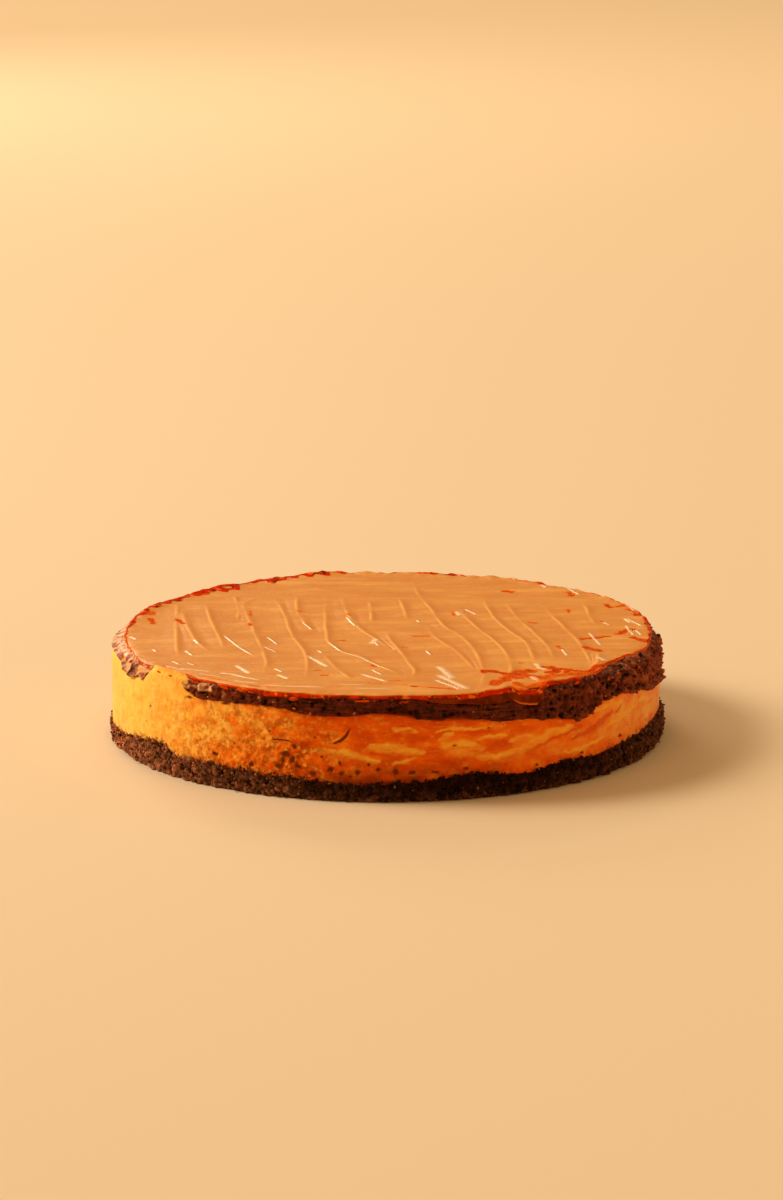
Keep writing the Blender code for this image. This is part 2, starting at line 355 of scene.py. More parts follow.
# A few grains stuck to the filling's side, well above the crust
stuck = draw.uniform(size=GRAIN_COUNT) < STUCK_SHARE
grain_high = np.where(stuck, grain_high + draw.uniform(2, 14, GRAIN_COUNT), grain_high)
grain_out = np.where(stuck, TIN_RADIUS, grain_out)
grain_size = np.where(stuck, grain_size * 0.45, grain_size)
grain_places = around(grain_out, grain_turn, grain_high)
grain_browned = eased_ring(CRUST_BROWNED, grain_turn)
crust_grains = scatter("crust_grains", grain_places, grain_size, grain_browned, draw)
crust_grains.data.materials.append(crust.data.materials[0])
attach(crust_grains, "root")


# The filling: baked curd, poured on the crust and set. The tin held its side smooth, pale
# yellow on the left and deep orange at the front, the orange partly the curd's own colour and
# partly painted shade on the side away from the light, with smears, and pits near the crust.
FILLING_STEPS = 1500
FILLING_ROWS = 50
FILLING_WAVE = 0.35
WAVE_SIZE = 26.0
PIT_DEPTH = 0.6
CREASE_DEPTH = 0.4
# How far its first and last rows tuck in behind the layers below and above
TUCK_BELOW = 1.5
TUCK_ABOVE = 1.9
# Where the filling ends, as (degrees round, height)
FILLING_EDGE = (
    (-172, 39.2), (-164, 39.4), (-158, 37.0), (-150, 37.8), (-145, 43.6), (-136, 43.6),
    (-132, 38.6), (-118, 38.3), (-110, 38.8), (-104, 36.5), (-91, 37.9), (-79, 34.7), (-62, 32.3),
    (-48, 28.0), (-39, 33.3), (-33, 33.4), (-16, 27.2), (-4, 26.2), (12, 31.0), (34, 34.5),
    (58, 33.0), (84, 37.0), (109, 35.2), (140, 37.6), (160, 37.4), (174, 38.6),
)
# How deep the orange is, partly the curd's own colour and partly painted shade that deepens
# towards the front, and how mottled with cream and grain the curd is, round the cake
ORANGE_AND_SHADE = (
    (-178, 0.03), (-150, 0.02), (-138, 0.12), (-126, 0.36), (-114, 0.6), (-105, 0.86),
    (-97, 0.98), (-84, 0.98), (-70, 0.9), (-60, 0.78), (-52, 0.72), (-42, 0.7), (-36, 0.56),
    (-16, 0.48), (8, 0.44), (40, 0.3), (90, 0.5), (135, 0.2),
)
MOTTLED = (
    (-176, 0.1), (-150, 0.2), (-140, 0.6), (-128, 1.0), (-108, 1.0), (-102, 0.5), (-94, 0.2),
    (-80, 0.12), (-50, 0.08), (-12, 0.1), (40, 0.5), (80, 0.2), (120, 0.8), (150, 0.3),
)
# Pale smears of curd, each (half height, then its line as degrees round and height)
SMEARS = (
    (2.4, (-103.5, 22.0), (-99.5, 21.4), (-95.4, 20.0), (-91.6, 17.4)),
    (2.6, (-93.0, 24.0), (-89.5, 23.8), (-86.2, 22.8), (-82.6, 21.6)),
    (0.9, (-89.5, 16.4), (-86.5, 17.6), (-83.8, 18.9)), (0.8, (-101.6, 25.0), (-99.0, 27.4)),
    (4.2, (-78.6, 24.0), (-74.6, 23.2), (-70.6, 21.6)), (2.0, (-79.4, 26.6), (-76.8, 28.2)),
    (1.1, (-71.4, 25.6), (-68.0, 26.6), (-65.5, 26.0)),
    (2.6, (-71.5, 18.4), (-66.9, 17.8), (-62.6, 18.6), (-59.6, 21.6), (-56.0, 24.6), (-50.0, 25.8)),
    (1.8, (-64.6, 23.6), (-61.6, 24.6), (-59.6, 24.4)), (1.6, (-88.4, 31.6), (-84.0, 30.6)),
    (0.9, (-80.0, 30.0), (-76.0, 31.0), (-71.0, 30.0)), (1.4, (-70.4, 30.4), (-66.0, 30.8)),
    (1.0, (-52.0, 14.6), (-45.0, 15.4), (-39.0, 17.0)),
    (2.6, (-43.0, 29.4), (-38.0, 30.6), (-33.6, 29.6)),
    (1.6, (-40.0, 20.0), (-34.0, 23.0), (-27.0, 25.6)), (2.0, (-26.0, 26.6), (-18.0, 24.0)),
    (1.6, (18.0, 19.0), (28.0, 22.0), (38.0, 23.5)),
    (1.3, (50.0, 20.0), (61.0, 18.0), (70.0, 17.0)),
    (1.5, (92.0, 22.0), (104.0, 24.0), (114.0, 25.0)),
    (1.4, (134.0, 22.0), (143.0, 20.0), (151.0, 18.0)),
)
# Deep orange smears, the same way
DEEP_SMEARS = (
    (3.4, (-97.6, 32.0), (-94.6, 28.6), (-92.4, 27.0)), (2.6, (-86.0, 27.6), (-81.4, 27.4)),
    (1.5, (-92.6, 21.4), (-88.0, 20.2), (-84.0, 19.8)), (2.0, (-74.0, 28.8), (-69.4, 28.4)),
    (1.1, (-66.4, 15.6), (-60.4, 17.6), (-54.0, 22.0), (-47.0, 24.4)),
    (2.4, (-68.0, 23.2), (-65.0, 23.0)), (1.6, (-82.0, 17.8), (-74.0, 16.6)),
    (2.2, (-49.6, 20.0), (-43.0, 22.6), (-37.4, 26.6)), (1.4, (-36.0, 26.0), (-33.4, 29.0)),
    (2.0, (20.0, 24.0), (34.0, 27.0)), (2.0, (86.0, 28.0), (98.0, 30.0)),
)
# Browned spots of curd: (degrees round, height, half width, half height, depth of the pit)
BROWN_SPOTS = (
    (-109.8, 19.0, 2.0, 1.4, 0.3), (-108.0, 22.0, 1.4, 1.0, 0.3), (-111.6, 13.4, 1.8, 1.2, 0.3),
    (-108.6, 16.6, 1.8, 1.8, 0.4), (-110.6, 16.2, 1.2, 1.6, 0.3), (-107.6, 14.2, 1.4, 1.0, 0.3),
    (-93.3, 16.1, 1.2, 1.1, 0.6), (-91.4, 14.1, 1.3, 1.0, 0.6), (-95.5, 12.4, 1.4, 1.2, 0.5),
    (-98.7, 11.9, 1.2, 1.2, 0.6), (-97.0, 11.0, 1.0, 0.8, 0.5), (-87.9, 13.0, 1.5, 1.1, 0.6),
    (-84.7, 12.9, 1.6, 0.8, 0.5), (-80.4, 12.6, 2.0, 0.7, 0.5), (-100.7, 13.5, 1.3, 1.2, 0.5),
    (-69.3, 29.8, 0.8, 0.5, 0.3), (-76.5, 23.5, 0.9, 0.5, 0.3), (-99.0, 16.5, 0.8, 1.1, 0.3),
    (-104.5, 11.6, 2.0, 1.1, 0.5), (-117.5, 12.6, 1.8, 1.0, 0.4), (-121.5, 20.5, 0.8, 0.8, 0.3),
    (-104.0, 26.8, 0.6, 0.5, 0.3), (-113.4, 27.6, 0.6, 0.5, 0.3), (-74.0, 13.2, 1.2, 0.6, 0.4),
    (-126.4, 14.6, 1.4, 0.9, 0.4), (-58.5, 11.4, 1.2, 0.6, 0.4), (-47.0, 12.8, 1.0, 0.6, 0.4),
    (-133.0, 36.6, 2.4, 0.8, 0.2), (-123.6, 37.0, 3.0, 0.7, 0.2), (-102.6, 18.8, 0.8, 1.0, 0.4),
    (-34.0, 14.6, 1.2, 0.7, 0.4), (-22.0, 16.0, 1.0, 0.7, 0.4), (22.0, 13.4, 1.4, 0.8, 0.5),
    (55.0, 14.0, 1.2, 0.9, 0.5), (88.0, 12.4, 1.4, 0.8, 0.5), (117.0, 15.0, 2.0, 1.6, 0.4),
    (124.0, 20.0, 1.0, 0.8, 0.4), (146.0, 13.0, 1.3, 0.8, 0.5), (-146.0, 27.4, 0.7, 0.5, 0.3),
)
# Dark creases in the curd: the same as the smears
CREASES = (
    (1.0, (-97.0, 30.8), (-97.6, 28.2), (-98.6, 26.0), (-100.4, 24.2)),
    (0.5, (-113.0, 24.4), (-110.6, 24.8), (-107.8, 24.0)),
    (0.5, (98.0, 27.0), (101.0, 25.0), (103.0, 21.6)),
)
CURD_YELLOW = (0.96, 0.52, 0.066)
CURD_ORANGE_AND_SHADE = (0.95, 0.165, 0.0025)
CURD_DEEP_AND_SHADE = (0.7, 0.068, 0.0006)
CURD_CREAM = (0.98, 0.7, 0.22)
CURD_SMEAR = (0.98, 0.46, 0.045)
CURD_FLECK = (0.98, 0.5, 0.06)
CURD_PATCH = (0.97, 0.56, 0.1)
CURD_BURNT = ((0.6, 0.17, 0.005), (0.36, 0.05, 0.001))
CURD_BAKED = (0.62, 0.17, 0.008)
CURD_BROWN = (0.17, 0.02, 0.001)


def along_side(turned, degrees):
    """How far round the side it is from this angle to each point, in millimetres."""
    return ((np.degrees(turned) - degrees + 180) % 360 - 180) * math.pi / 180 * TIN_RADIUS


def beside_line(across, up, line):
    """The distance above a broken line, less below it, and how much of it lies abreast."""
    nearest = np.full(np.shape(up), 99.0)
    abreast = np.zeros(np.shape(up))
    for i, ((x0, y0), (x1, y1)) in enumerate(zip(line, line[1:])):
        run, climb = x1 - x0, y1 - y0
        length = math.hypot(run, climb)
        share = np.clip(((across - x0) * run + (up - y0) * climb) / length ** 2, 0, 1)
        side = ((up - y0) * run - (across - x0) * climb) / length
        far = np.hypot(across - x0 - share * run, up - y0 - share * climb)
        closer = far < abs(nearest)
        nearest = np.where(closer, np.where(side < 0, -far, far), nearest)
        abreast = np.where(closer, (i + share) / (len(line) - 1), abreast)
    return nearest, np.clip(np.sin(math.pi * abreast), 0, 1)


def smeared(places, turned, height, smears, ragged):
    """How much of the smears lies here: crisp along the top of each and soft below."""
    total = np.zeros(np.shape(height))
    drift = ragged * (waves(places, 4.0) + 0.5 * waves(places * (1, 1, 1.8), 1.8))
    for half_height, *line in smears:
        start = line[0][0]
        placed = [((degrees - start) * math.pi / 180 * TIN_RADIUS, up) for degrees, up in line]
        off, abreast = beside_line(along_side(turned, start), height, placed)
        off = (off + drift) / (half_height * (0.45 + 0.55 * abreast))
        total = np.maximum(total, np.where(off > 0, np.exp(-(off / 0.55) ** 4), np.exp(-(off ** 2))))
    return total


def spotted(turned, height, spots, drift):
    """How much of the brown spots lies here, and how deep their pits are."""
    total, depth = np.zeros(np.shape(height)), np.zeros(np.shape(height))
    for degrees, up, half_width, half_height, deep in spots:
        off = (along_side(turned, degrees) / half_width) ** 2 + ((height - up) / half_height) ** 2
        off = off * np.clip(1 + drift, 0.3, 3)
        total = np.maximum(total, np.exp(-off ** 1.4))
        depth = np.maximum(depth, deep * np.exp(-off * 1.3))
    return total, depth


turn = angles(FILLING_STEPS)
low_edge = eased_ring(CRUST_EDGE, turn)
high_edge = eased_ring(FILLING_EDGE, turn)
orange_and_shade = eased_ring(ORANGE_AND_SHADE, turn)
mottled = eased_ring(MOTTLED, turn)
filling_rows = []
paint_names = ("orange_and_shade", "mottled", "smear", "deep", "pit", "low", "brown")
filling_paint = {share: [] for share in paint_names}
for share in np.linspace(-0.06, 1.06, FILLING_ROWS):
    height = low_edge + (high_edge - low_edge) * share
    flat = around(TIN_RADIUS, turn, height)
    tuck = TUCK_BELOW * np.clip(-share / 0.06, 0, 1) ** 1.5
    tuck = tuck + TUCK_ABOVE * np.clip((share - 0.965) / 0.06, 0, 1) ** 2
    near_crust = np.exp(-np.clip(height - low_edge, 0, None) / 5.0)
    # The mottling fades towards the top, and its pits are closest near the crust
    grainy = mottled * np.clip(1.35 - 0.9 * share + 0.8 * waves(flat, 7.0), 0, 1)
    pit = np.clip(lumps(flat, 2.9) - 0.25, 0, 1) * (grainy + 0.6 * near_crust)
    crater = np.clip(lumps(flat * (1, 1, 1.4), 1.7) - 0.45, 0, 1) * (0.8 * grainy + 0.5 * near_crust)
    spot, deep = spotted(turn, height, BROWN_SPOTS, 1.3 * waves(flat, 1.6) + 1.2 * waves(flat, 3.2))
    smear = smeared(flat, turn, height, SMEARS, 1.0)
    dark_smear = smeared(flat, turn, height, DEEP_SMEARS, 1.0)
    crease = smeared(flat, turn, height, CREASES, 0.15)
    swell = FILLING_WAVE * waves(flat, WAVE_SIZE) + 0.14 * waves(flat, 6.0) + 0.2 * smear
    swell = swell + 0.3 * grainy * waves(flat, 2.2)
    swell = swell * min(1.0, max(0.0, (1.0 - share) / 0.12)) - 0.25 * max(0.0, (share - 0.9) / 0.1)
    reach = TIN_RADIUS - tuck + swell - PIT_DEPTH * pit - PIT_DEPTH * crater - PIT_DEPTH * deep
    reach = reach - CREASE_DEPTH * crease
    filling_rows.append(around(reach, turn, height))
    deeper = orange_and_shade * (1 + 0.34 * (2 * share - 1) ** 2)
    filling_paint["orange_and_shade"].append(deeper + 0.3 * grainy * np.clip(1.1 - 1.5 * share, 0, 1))
    filling_paint["mottled"].append(grainy)
    filling_paint["smear"].append(smear)
    filling_paint["deep"].append(dark_smear)
    filling_paint["pit"].append(np.clip(1.5 * pit + 1.5 * crater, 0, 1))
    filling_paint["low"].append(np.exp(-np.clip(height - low_edge, 0, None) / 2.0))
    uneven = 0.84 + 0.5 * waves(flat * (0.5, 0.5, 1), 3.0)
    soaked = np.clip(orange_and_shade, 0, 1) ** 6 * near_crust ** 0.7 * uneven
    filling_paint["brown"].append(np.maximum(np.maximum(spot, crease), soaked))


def curd_finish():
    """Set curd: it glows a little inside, shines where smooth and mottles where grainy."""
    material, tree, surface = new_finish("curd", 0.14, (1.0, 0.5, 0.08), 0.15, (2.2, 0.8, 0.2))
    here = place_in(tree)
    flowing = place_in(tree, (1, 1, 0.42))
    orange_and_shade = share_of(tree, "orange_and_shade")
    grainy = share_of(tree, "mottled")
    deep = orange_and_shade + mottle(flowing, 12.0, 4.0).between(0.3, 0.7, -0.3, 0.3)
    # Painted shade: where the orange share is high the yellow curd turns orange, partly its own colour
    # and partly painted shade on the side away from the light
    colour = mixed(deep.between(0.0, 0.75), CURD_YELLOW, CURD_ORANGE_AND_SHADE)
    colour = mixed(deep.between(0.75, 1.3), colour, CURD_DEEP_AND_SHADE)
    streak = mottle(place_in(tree, (1, 1, 6.0)), 2.2).between(0.5, 0.74)
    colour = mixed(streak * orange_and_shade.between(0.5, 0.0, 0.0, 0.8), colour, CURD_CREAM)
    patch = mottle(here, 7.0, 4.0, 0.6).between(0.46, 0.56)
    colour = mixed(patch * orange_and_shade.between(0.9, 0.3, 0.0, 0.8), colour, CURD_PATCH)
    wisp = mottle(place_in(tree, (1, 1, 0.5)), 5.0, 5.0, 0.6).between(0.52, 0.66)
    colour = mixed(wisp * 0.35, colour, CURD_SMEAR)
    colour = mixed(share_of(tree, "deep").between(0.1, 0.8, 0.0, 0.75), colour, CURD_DEEP_AND_SHADE)
    drawn = mottle(place_in(tree, (2.6, 2.6, 0.8)), 3.2, 4.0, 0.6).between(0.34, 0.56, 0.25, 1.0)
    colour = mixed(share_of(tree, "smear").between(0.05, 0.95) * drawn, colour, CURD_SMEAR)
    baked = mottle(here, 3.4, 5.0, 0.68).between(0.43, 0.57) * grainy
    colour = mixed(baked * 0.85, colour, mixed(orange_and_shade.between(0.3, 0.85), *CURD_BURNT))
    flecks = grains_in(here, 2.1).between(0.55, 0.25) * mottle(here, 3.0, 2.0).between(0.45, 0.58)
    colour = mixed(flecks * grainy * 0.8, colour, CURD_FLECK)
    colour = mixed(share_of(tree, "pit") * 0.75, colour, CURD_BAKED)
    stain = mottle(here, 3.0, 3.0, 0.6).between(0.46, 0.6) * share_of(tree, "low")
    stain = stain.most(share_of(tree, "brown"))
    colour = mixed(stain.between(0.16, 0.85), colour, CURD_BROWN)
    normal = raised_by(mottle(flowing, 4.0), 0.25)
    normal = raised_by(mottle(here, 1.1) * grainy, 0.5, normal)
    roughness = mottle(flowing, 5.0).between(0.35, 0.65, 0.3, 0.5)
    set_finish(surface, colour, roughness, normal)
    return material


filling = skin("filling_side", filling_rows, filling_paint)
filling.data.materials.append(curd_finish())
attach(filling, "root")
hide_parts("filling")


# The chocolate layer: moist dark crumb, spread on the baked curd. It swells at the right,
# hangs over the curd in soft lobes, and is smeared flat at the front where the tin slid off.
# At the left end milky caramel coats its edge.
CHOCOLATE_STEPS = 1500
CHOCOLATE_SIDE_ROWS = 32
SHOULDER_ROWS = 14
# Where the chocolate meets the caramel, as (degrees round, height) and (degrees round, radius)
CHOCOLATE_EDGE = (
    (-166, 43.2), (-150, 42.8), (-140, 43.7), (-121, 43.6), (-112, 42.5), (-100, 43.6),
    (-86, 43.5), (-77, 41.2), (-67, 40.2), (-60, 43.4), (-44, 43.8), (-22, 43.9), (20, 43.3),
    (72, 43.6), (118, 42.9), (155, 43.3),
)
CARAMEL_OUTLINE = (
    (-168, 114.4), (-160, 115.4), (-150, 118.0), (-138, 116.2), (-123, 117.6), (-110, 119.0),
    (-96, 118.4), (-80, 117.8), (-64, 117.2), (-52, 116.8), (-42, 116.4), (-32, 111.8),
    (-25, 112.0), (-18, 115.8), (-8, 115.6), (4, 116.6), (14, 118.6), (36, 119.2), (60, 119.4),
    (90, 119.2), (106, 118.4), (120, 115.8), (136, 114.8), (150, 113.2), (160, 114.6), (175, 114.0),
)
CHOCOLATE_SHRINK = 0.5
COAT_DEPTH = 1.3
THIN_TUCK = 2.4
CHOCOLATE_LUMPS = ((1.3, 5.2), (0.75, 2.6), (0.2, 1.2))
CAVITY_SIZE = 3.8
CAVITY_DEPTH = 3.0
SIDE_ARC = math.radians(140)
# How much of the layer's depth stands upright before its shoulder turns in
SHOULDER = (
    (-178, 0.4), (-166, 0.4), (-158, 0.75), (-130, 0.86), (-60, 0.86), (-30, 0.8), (-10, 0.76),
    (14, 0.78), (40, 0.86), (95, 0.86), (115, 0.68), (150, 0.55),
)
# Where the crumb's soft lower edge shows: it hangs over the curd in lobes
CHOCOLATE_FOOT = (
    (-176, 40.6), (-168, 41.0), (-163, 40.4), (-160, 38.6), (-157.4, 36.8), (-153.6, 37.0),
    (-151, 38.6), (-149.2, 37.6), (-147.4, 41.6), (-145, 43.6), (-136.4, 43.5),
    (-132.8, 38.6), (-128.8, 37.2), (-122.8, 37.8), (-116.2, 38.5), (-110, 38.0), (-108, 36.6),
    (-104.1, 36.1), (-98.9, 36.2), (-91.4, 37.8), (-86, 37.2), (-83.2, 35.0), (-79, 34.4),
    (-76.8, 35.8), (-74.4, 35.0), (-71, 33.8), (-66.2, 31.7), (-62, 31.8), (-56.4, 30.3),
    (-54.1, 30.0), (-53.2, 32.8), (-51.8, 29.3), (-47.7, 27.2), (-44.1, 28.7), (-41.6, 32.4),
    (-36.5, 33.4), (-26.6, 30.9), (-14.4, 26.6), (-4, 25.6), (12, 30.2), (24, 33.6), (30, 32.2),
    (34, 34.2), (58, 32.4), (72, 34.8), (84, 36.6), (109, 34.6), (118, 34.4), (126, 37.2),
    (140, 37.8), (160, 38.2), (172, 39.6),
)
# How smooth the tin left the crumb; how buttery it is, partly its own colour and partly painted
# fill light that lightens the shaded right end; and how far caramel coats its edge
SMEARED = (
    (-170, 0.2), (-140, 0.1), (-122, 0.3), (-108, 0.75), (-94, 0.7), (-80, 0.6), (-70, 0.9),
    (-63, 0.8), (-58, 0.1), (-34, 0.0), (0, 0.0), (60, 0.4), (120, 0.2),
)
CHOCOLATE_BUTTERY_AND_FILL_LIGHT = (
    (-172, 0.7), (-140, 0.45), (-124, 0.3), (-108, 0.12), (-84, 0.02), (-64, 0.2), (-50, 0.4),
    (-38, 0.75), (-24, 0.95), (-4, 1.0), (40, 0.2), (100, 0.15), (150, 0.4),
)
COATED = (
    (-180, 1.0), (-164, 1.0), (-157, 0.9), (-150, 0.85), (-144, 1.0), (-137, 0.9), (-132, 0.42),
    (-114, 0.34), (-104, 0.0), (140, 0.0), (165, 0.7),
)
# Knobs and hollows of crumb: (degrees round, height, size, how far it stands out)
KNOBS = (
    (-154.4, 39.6, 3.8, 2.4), (-159, 38.6, 2.0, 0.9), (-149.6, 38.9, 1.8, 0.5), (-136.4, 41, 1.6, 0.7),
    (-130.4, 39.6, 3.6, 1.3), (-126.5, 41.6, 2.6, 0.8), (-133.6, 40.6, 2.0, 0.7), (-121, 40.6, 2.4, 0.6),
    (-60, 38.6, 5.4, -1.6), (-52, 40.6, 2.2, -1.4), (-54, 35.6, 3.0, 0.9), (-50, 38.4, 3.2, 1.2),
    (-47.5, 42.2, 2.0, -1.6), (-44, 37.6, 3.2, 1.1), (-41, 40.6, 2.0, -1.9), (-37, 41.4, 3.4, 1.4),
    (-34, 37.6, 2.2, -2.2), (-30, 39.4, 3.0, 1.3), (-27, 42.2, 2.4, -1.6), (-24, 35.6, 3.0, 1.0),
    (-21, 40.0, 3.6, 1.2), (-17.4, 36.4, 1.5, -2.0), (-14, 33.6, 3.2, 0.8), (-9, 40.2, 3.2, 0.7),
    (-5, 36.4, 2.2, -1.5), (2, 33.0, 3.4, 0.5), (6, 39.4, 3.4, 0.6), (15, 36.4, 3.0, 0.5),
    (66, 38.6, 3.0, 1.0), (95, 40.0, 3.4, 0.9), (128, 40.2, 3.4, 1.2), (164, 40.2, 3.2, 1.1),
)
# COCOA_DARK is painted shade for the creases and cavities of the crumb
COCOA_DARK = (0.006, 0.001, 0.0004)
COCOA_BROWN = (0.15, 0.0155, 0.0025)
COCOA_BUTTERY = (0.5, 0.105, 0.032)
COCOA_PALE = (0.36, 0.13, 0.065)
# The milky coat's pale blotches are partly painted sheen, standing in for glossy highlights on the
# caramel coat
MILKY_COAT_AND_SHEEN = (0.8, 0.42, 0.19)
STAINED_COAT = (0.28, 0.05, 0.014)
COATINGS = (MILKY_COAT_AND_SHEEN, STAINED_COAT)


def knobbed(turned, height):
    total = np.zeros(np.shape(height))
    for degrees, up, size, out in KNOBS:
        off = (along_side(turned, degrees) ** 2 + (height - up) ** 2) / size ** 2
        total = total + out * np.exp(-off ** 1.6)
    return total


def torn(flat):
    """The relief of torn moist crumb here, with how much crown or cavity it is."""
    crowns, relief = crumbled(flat, CHOCOLATE_LUMPS)
    cavity = np.clip(lumps(flat * (1, 1, 1.3) + (50, 0, 0), CAVITY_SIZE) - 0.25, 0, 1)
    # Cavities lower the crown share, so they take the painted shade of the creases
    crown = 0.6 * crowns[0] + 0.55 * crowns[1] + 0.3 * crowns[2] + 0.15 - 3.0 * cavity
    return relief - CAVITY_DEPTH * cavity, crown


def coated_here(turned, height):
    """How much milky caramel coats the crumb here: least on the lump that stands out."""
    degrees, up, size, _ = KNOBS[0]
    off = (along_side(turned, degrees) ** 2 + (height - up) ** 2) / (0.95 * size) ** 2
    high = np.clip((height - 38.0) / 3.0, 0, 1)
    return coated * np.where(coated > 0.7, 1.0, high) * (1 - 0.65 * np.exp(-off ** 2))


turn = angles(CHOCOLATE_STEPS)
low_edge = eased_ring(CHOCOLATE_FOOT, turn)
low_edge = low_edge + 0.5 * waves(around(TIN_RADIUS, turn, 9.0), 3.0)
high_edge = eased_ring(CHOCOLATE_EDGE, turn)
outline = eased_ring(CARAMEL_OUTLINE, turn)
depth = high_edge - low_edge
side_depth = depth * eased_ring(SHOULDER, turn)
shrink = CHOCOLATE_SHRINK * np.clip(-np.cos(turn), 0, 1)
smooth_share = eased_ring(SMEARED, turn)
# Painted fill light: towards the right end the crumb turns lighter and buttery, partly its own colour
browned = eased_ring(CHOCOLATE_BUTTERY_AND_FILL_LIGHT, turn)
coated = eased_ring(COATED, turn)
chocolate_rows, chocolate_paint = [], {"crown": [], "browned": [], "coat": []}


def lay_crumb(row, crown, coat):
    chocolate_rows.append(row)
    chocolate_paint["crown"].append(crown)
    chocolate_paint["browned"].append(browned)
    chocolate_paint["coat"].append(coat)


for share in np.linspace(-0.05, 1.0, CHOCOLATE_SIDE_ROWS):
    height = low_edge + side_depth * share
    flat = around(TIN_RADIUS, turn, height)
    relief, crown = torn(flat)
    relief = np.maximum(relief, -0.4 - 5 * max(share, 0))
    coat = coated_here(turn, height)
    streaks = waves(flat * (0.16, 0.16, 1.3), 1.0)
    rough = np.clip(depth / 4.0, 0.3, 1.0) * (1 - 0.82 * smooth_share) * (1 - 0.8 * coated)
    rough = rough * (1 + 0.7 * browned)
    bulge = -shrink * math.sin(SIDE_ARC * max(share, 0))
    lip = 0.8 * math.exp(-((share - 0.08) / 0.1) ** 2) - 1.6 * np.clip(-share / 0.05, 0, 1)
    reach = TIN_RADIUS - 0.5 * min(max(share, 0) / 0.5, 1) + bulge + relief * rough
    reach = reach + lip * (1 - coated) + knobbed(turn, height)
    reach = reach + (0.12 + 0.26 * smooth_share) * streaks
    reach = reach - THIN_TUCK * np.clip(1 - depth / 1.6, 0, 1)
    reach = reach - COAT_DEPTH * coated * np.clip((share - 0.1) / 0.4, 0, 1)
    crown = crown * (1 - 0.55 * smooth_share) + 1.3 * smooth_share * streaks
    lay_crumb(around(reach, turn, height), crown, coat)
side_reach, side_height = reach, height
for share in np.linspace(0.08, 1.0, SHOULDER_ROWS):
    reach = side_reach + (outline - side_reach) * share
    height = side_height + (high_edge - side_height) * (1 - (1 - share) ** 1.6)
    flat = around(reach, turn, height)
    relief, crown = torn(flat)
    rough = (1 - 0.4 * share) * (1 - share ** 6) * (1 - 0.75 * coated)
    height = height + 0.45 * relief * rough
    coat = coated_here(turn, height)
    lay_crumb(around(reach, turn, height), crown, coat)
lay_crumb(around(outline - 3.5, turn, high_edge - 0.2), crown, coat)

chocolate = skin("chocolate_crumb", chocolate_rows, chocolate_paint)
chocolate_shades = (COCOA_DARK, COCOA_BROWN, COCOA_BUTTERY, COCOA_PALE)
cocoa_finish = crumb_finish("cocoa_crumb", chocolate_shades, 0.18, 0.28, 0.34, COATINGS)
chocolate.data.materials.append(cocoa_finish)
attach(chocolate, "root")
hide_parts("chocolate_layer")


# The loose chocolate crumbs: bits of the same moist crumb that stand on its side and on the
# shoulder beside the caramel, thickest where the tin didn't smear it.
COCOA_GRAIN_COUNT = 1300
COCOA_GRAIN_SIZE = (0.3, 1.2)

draw = np.random.default_rng(11)
grain_turn = draw.uniform(0, 2 * math.pi, COCOA_GRAIN_COUNT)
bare = 1 - np.maximum(0.92 * eased_ring(SMEARED, grain_turn), 1.3 * eased_ring(COATED, grain_turn))
grain_turn = grain_turn[draw.uniform(size=COCOA_GRAIN_COUNT) < bare]
grain_size = draw.uniform(*COCOA_GRAIN_SIZE, len(grain_turn)) ** 1.5
up_side = draw.uniform(0.03, 0.97, len(grain_turn))
step = np.round(grain_turn / (2 * math.pi) * CHOCOLATE_STEPS).astype(int) % CHOCOLATE_STEPS
row = np.round(up_side * (len(chocolate_rows) - 3)).astype(int)
grain_places = np.array(chocolate_rows)[row, step]
outward = np.clip(grain_places / np.linalg.norm(grain_places[:, :2], axis=1)[:, None], -1, 1)
grain_places = grain_places + outward * (1, 1, 0) * (grain_size * 0.3)[:, None]
# The loose crumbs take the same buttery colour and painted fill light
grain_browned = eased_ring(CHOCOLATE_BUTTERY_AND_FILL_LIGHT, grain_turn)
cocoa_grains = scatter("cocoa_grains", grain_places, grain_size, grain_browned, draw)
cocoa_grains.data.materials.append(cocoa_finish)
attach(cocoa_grains, "root")


# The caramel: thick milk caramel, spread with a palette knife while soft. Each stroke ends
# in a thin crest; between the last strokes and the rim it lies thin, wet and glassy red, and
# at the front it ran down over the chocolate in a film.
CARAMEL_STEPS = 1080
CARAMEL_LEVEL = 45.0
CREST_HEIGHT = 0.34
CREST_REACH = (4.2, 2.0)
SPREAD_SWELL = 0.22
WET_DEPTH = 0.42
RIM_ROUNDING = 0.5
UNDER_RIM = 2.5
# How far down the rim its bright line and its red band reach; both are partly painted glow of
# light through the thin caramel
RIM_BAND = (0.3, 1.7)
# The rings of points: their shares up the rim's side, and their distances in from it
SIDE_SHARES = (0.0, 0.04, 0.1, 0.18, 0.28, 0.38, 0.48, 0.58, 0.67, 0.75, 0.82, 0.88, 0.94)
NEAR_RIM = (0.0, 0.3, 0.65, 1.05, 1.55, 2.2, 3.0)
TOP_RING_STEP = 0.86
# Inside each of these radii the rings have half as many points
HALVING_RADII = (56.0, 28.0, 14.0, 0.0)
LIP_HEIGHT = 0.42
FAR_OFF = 9.0
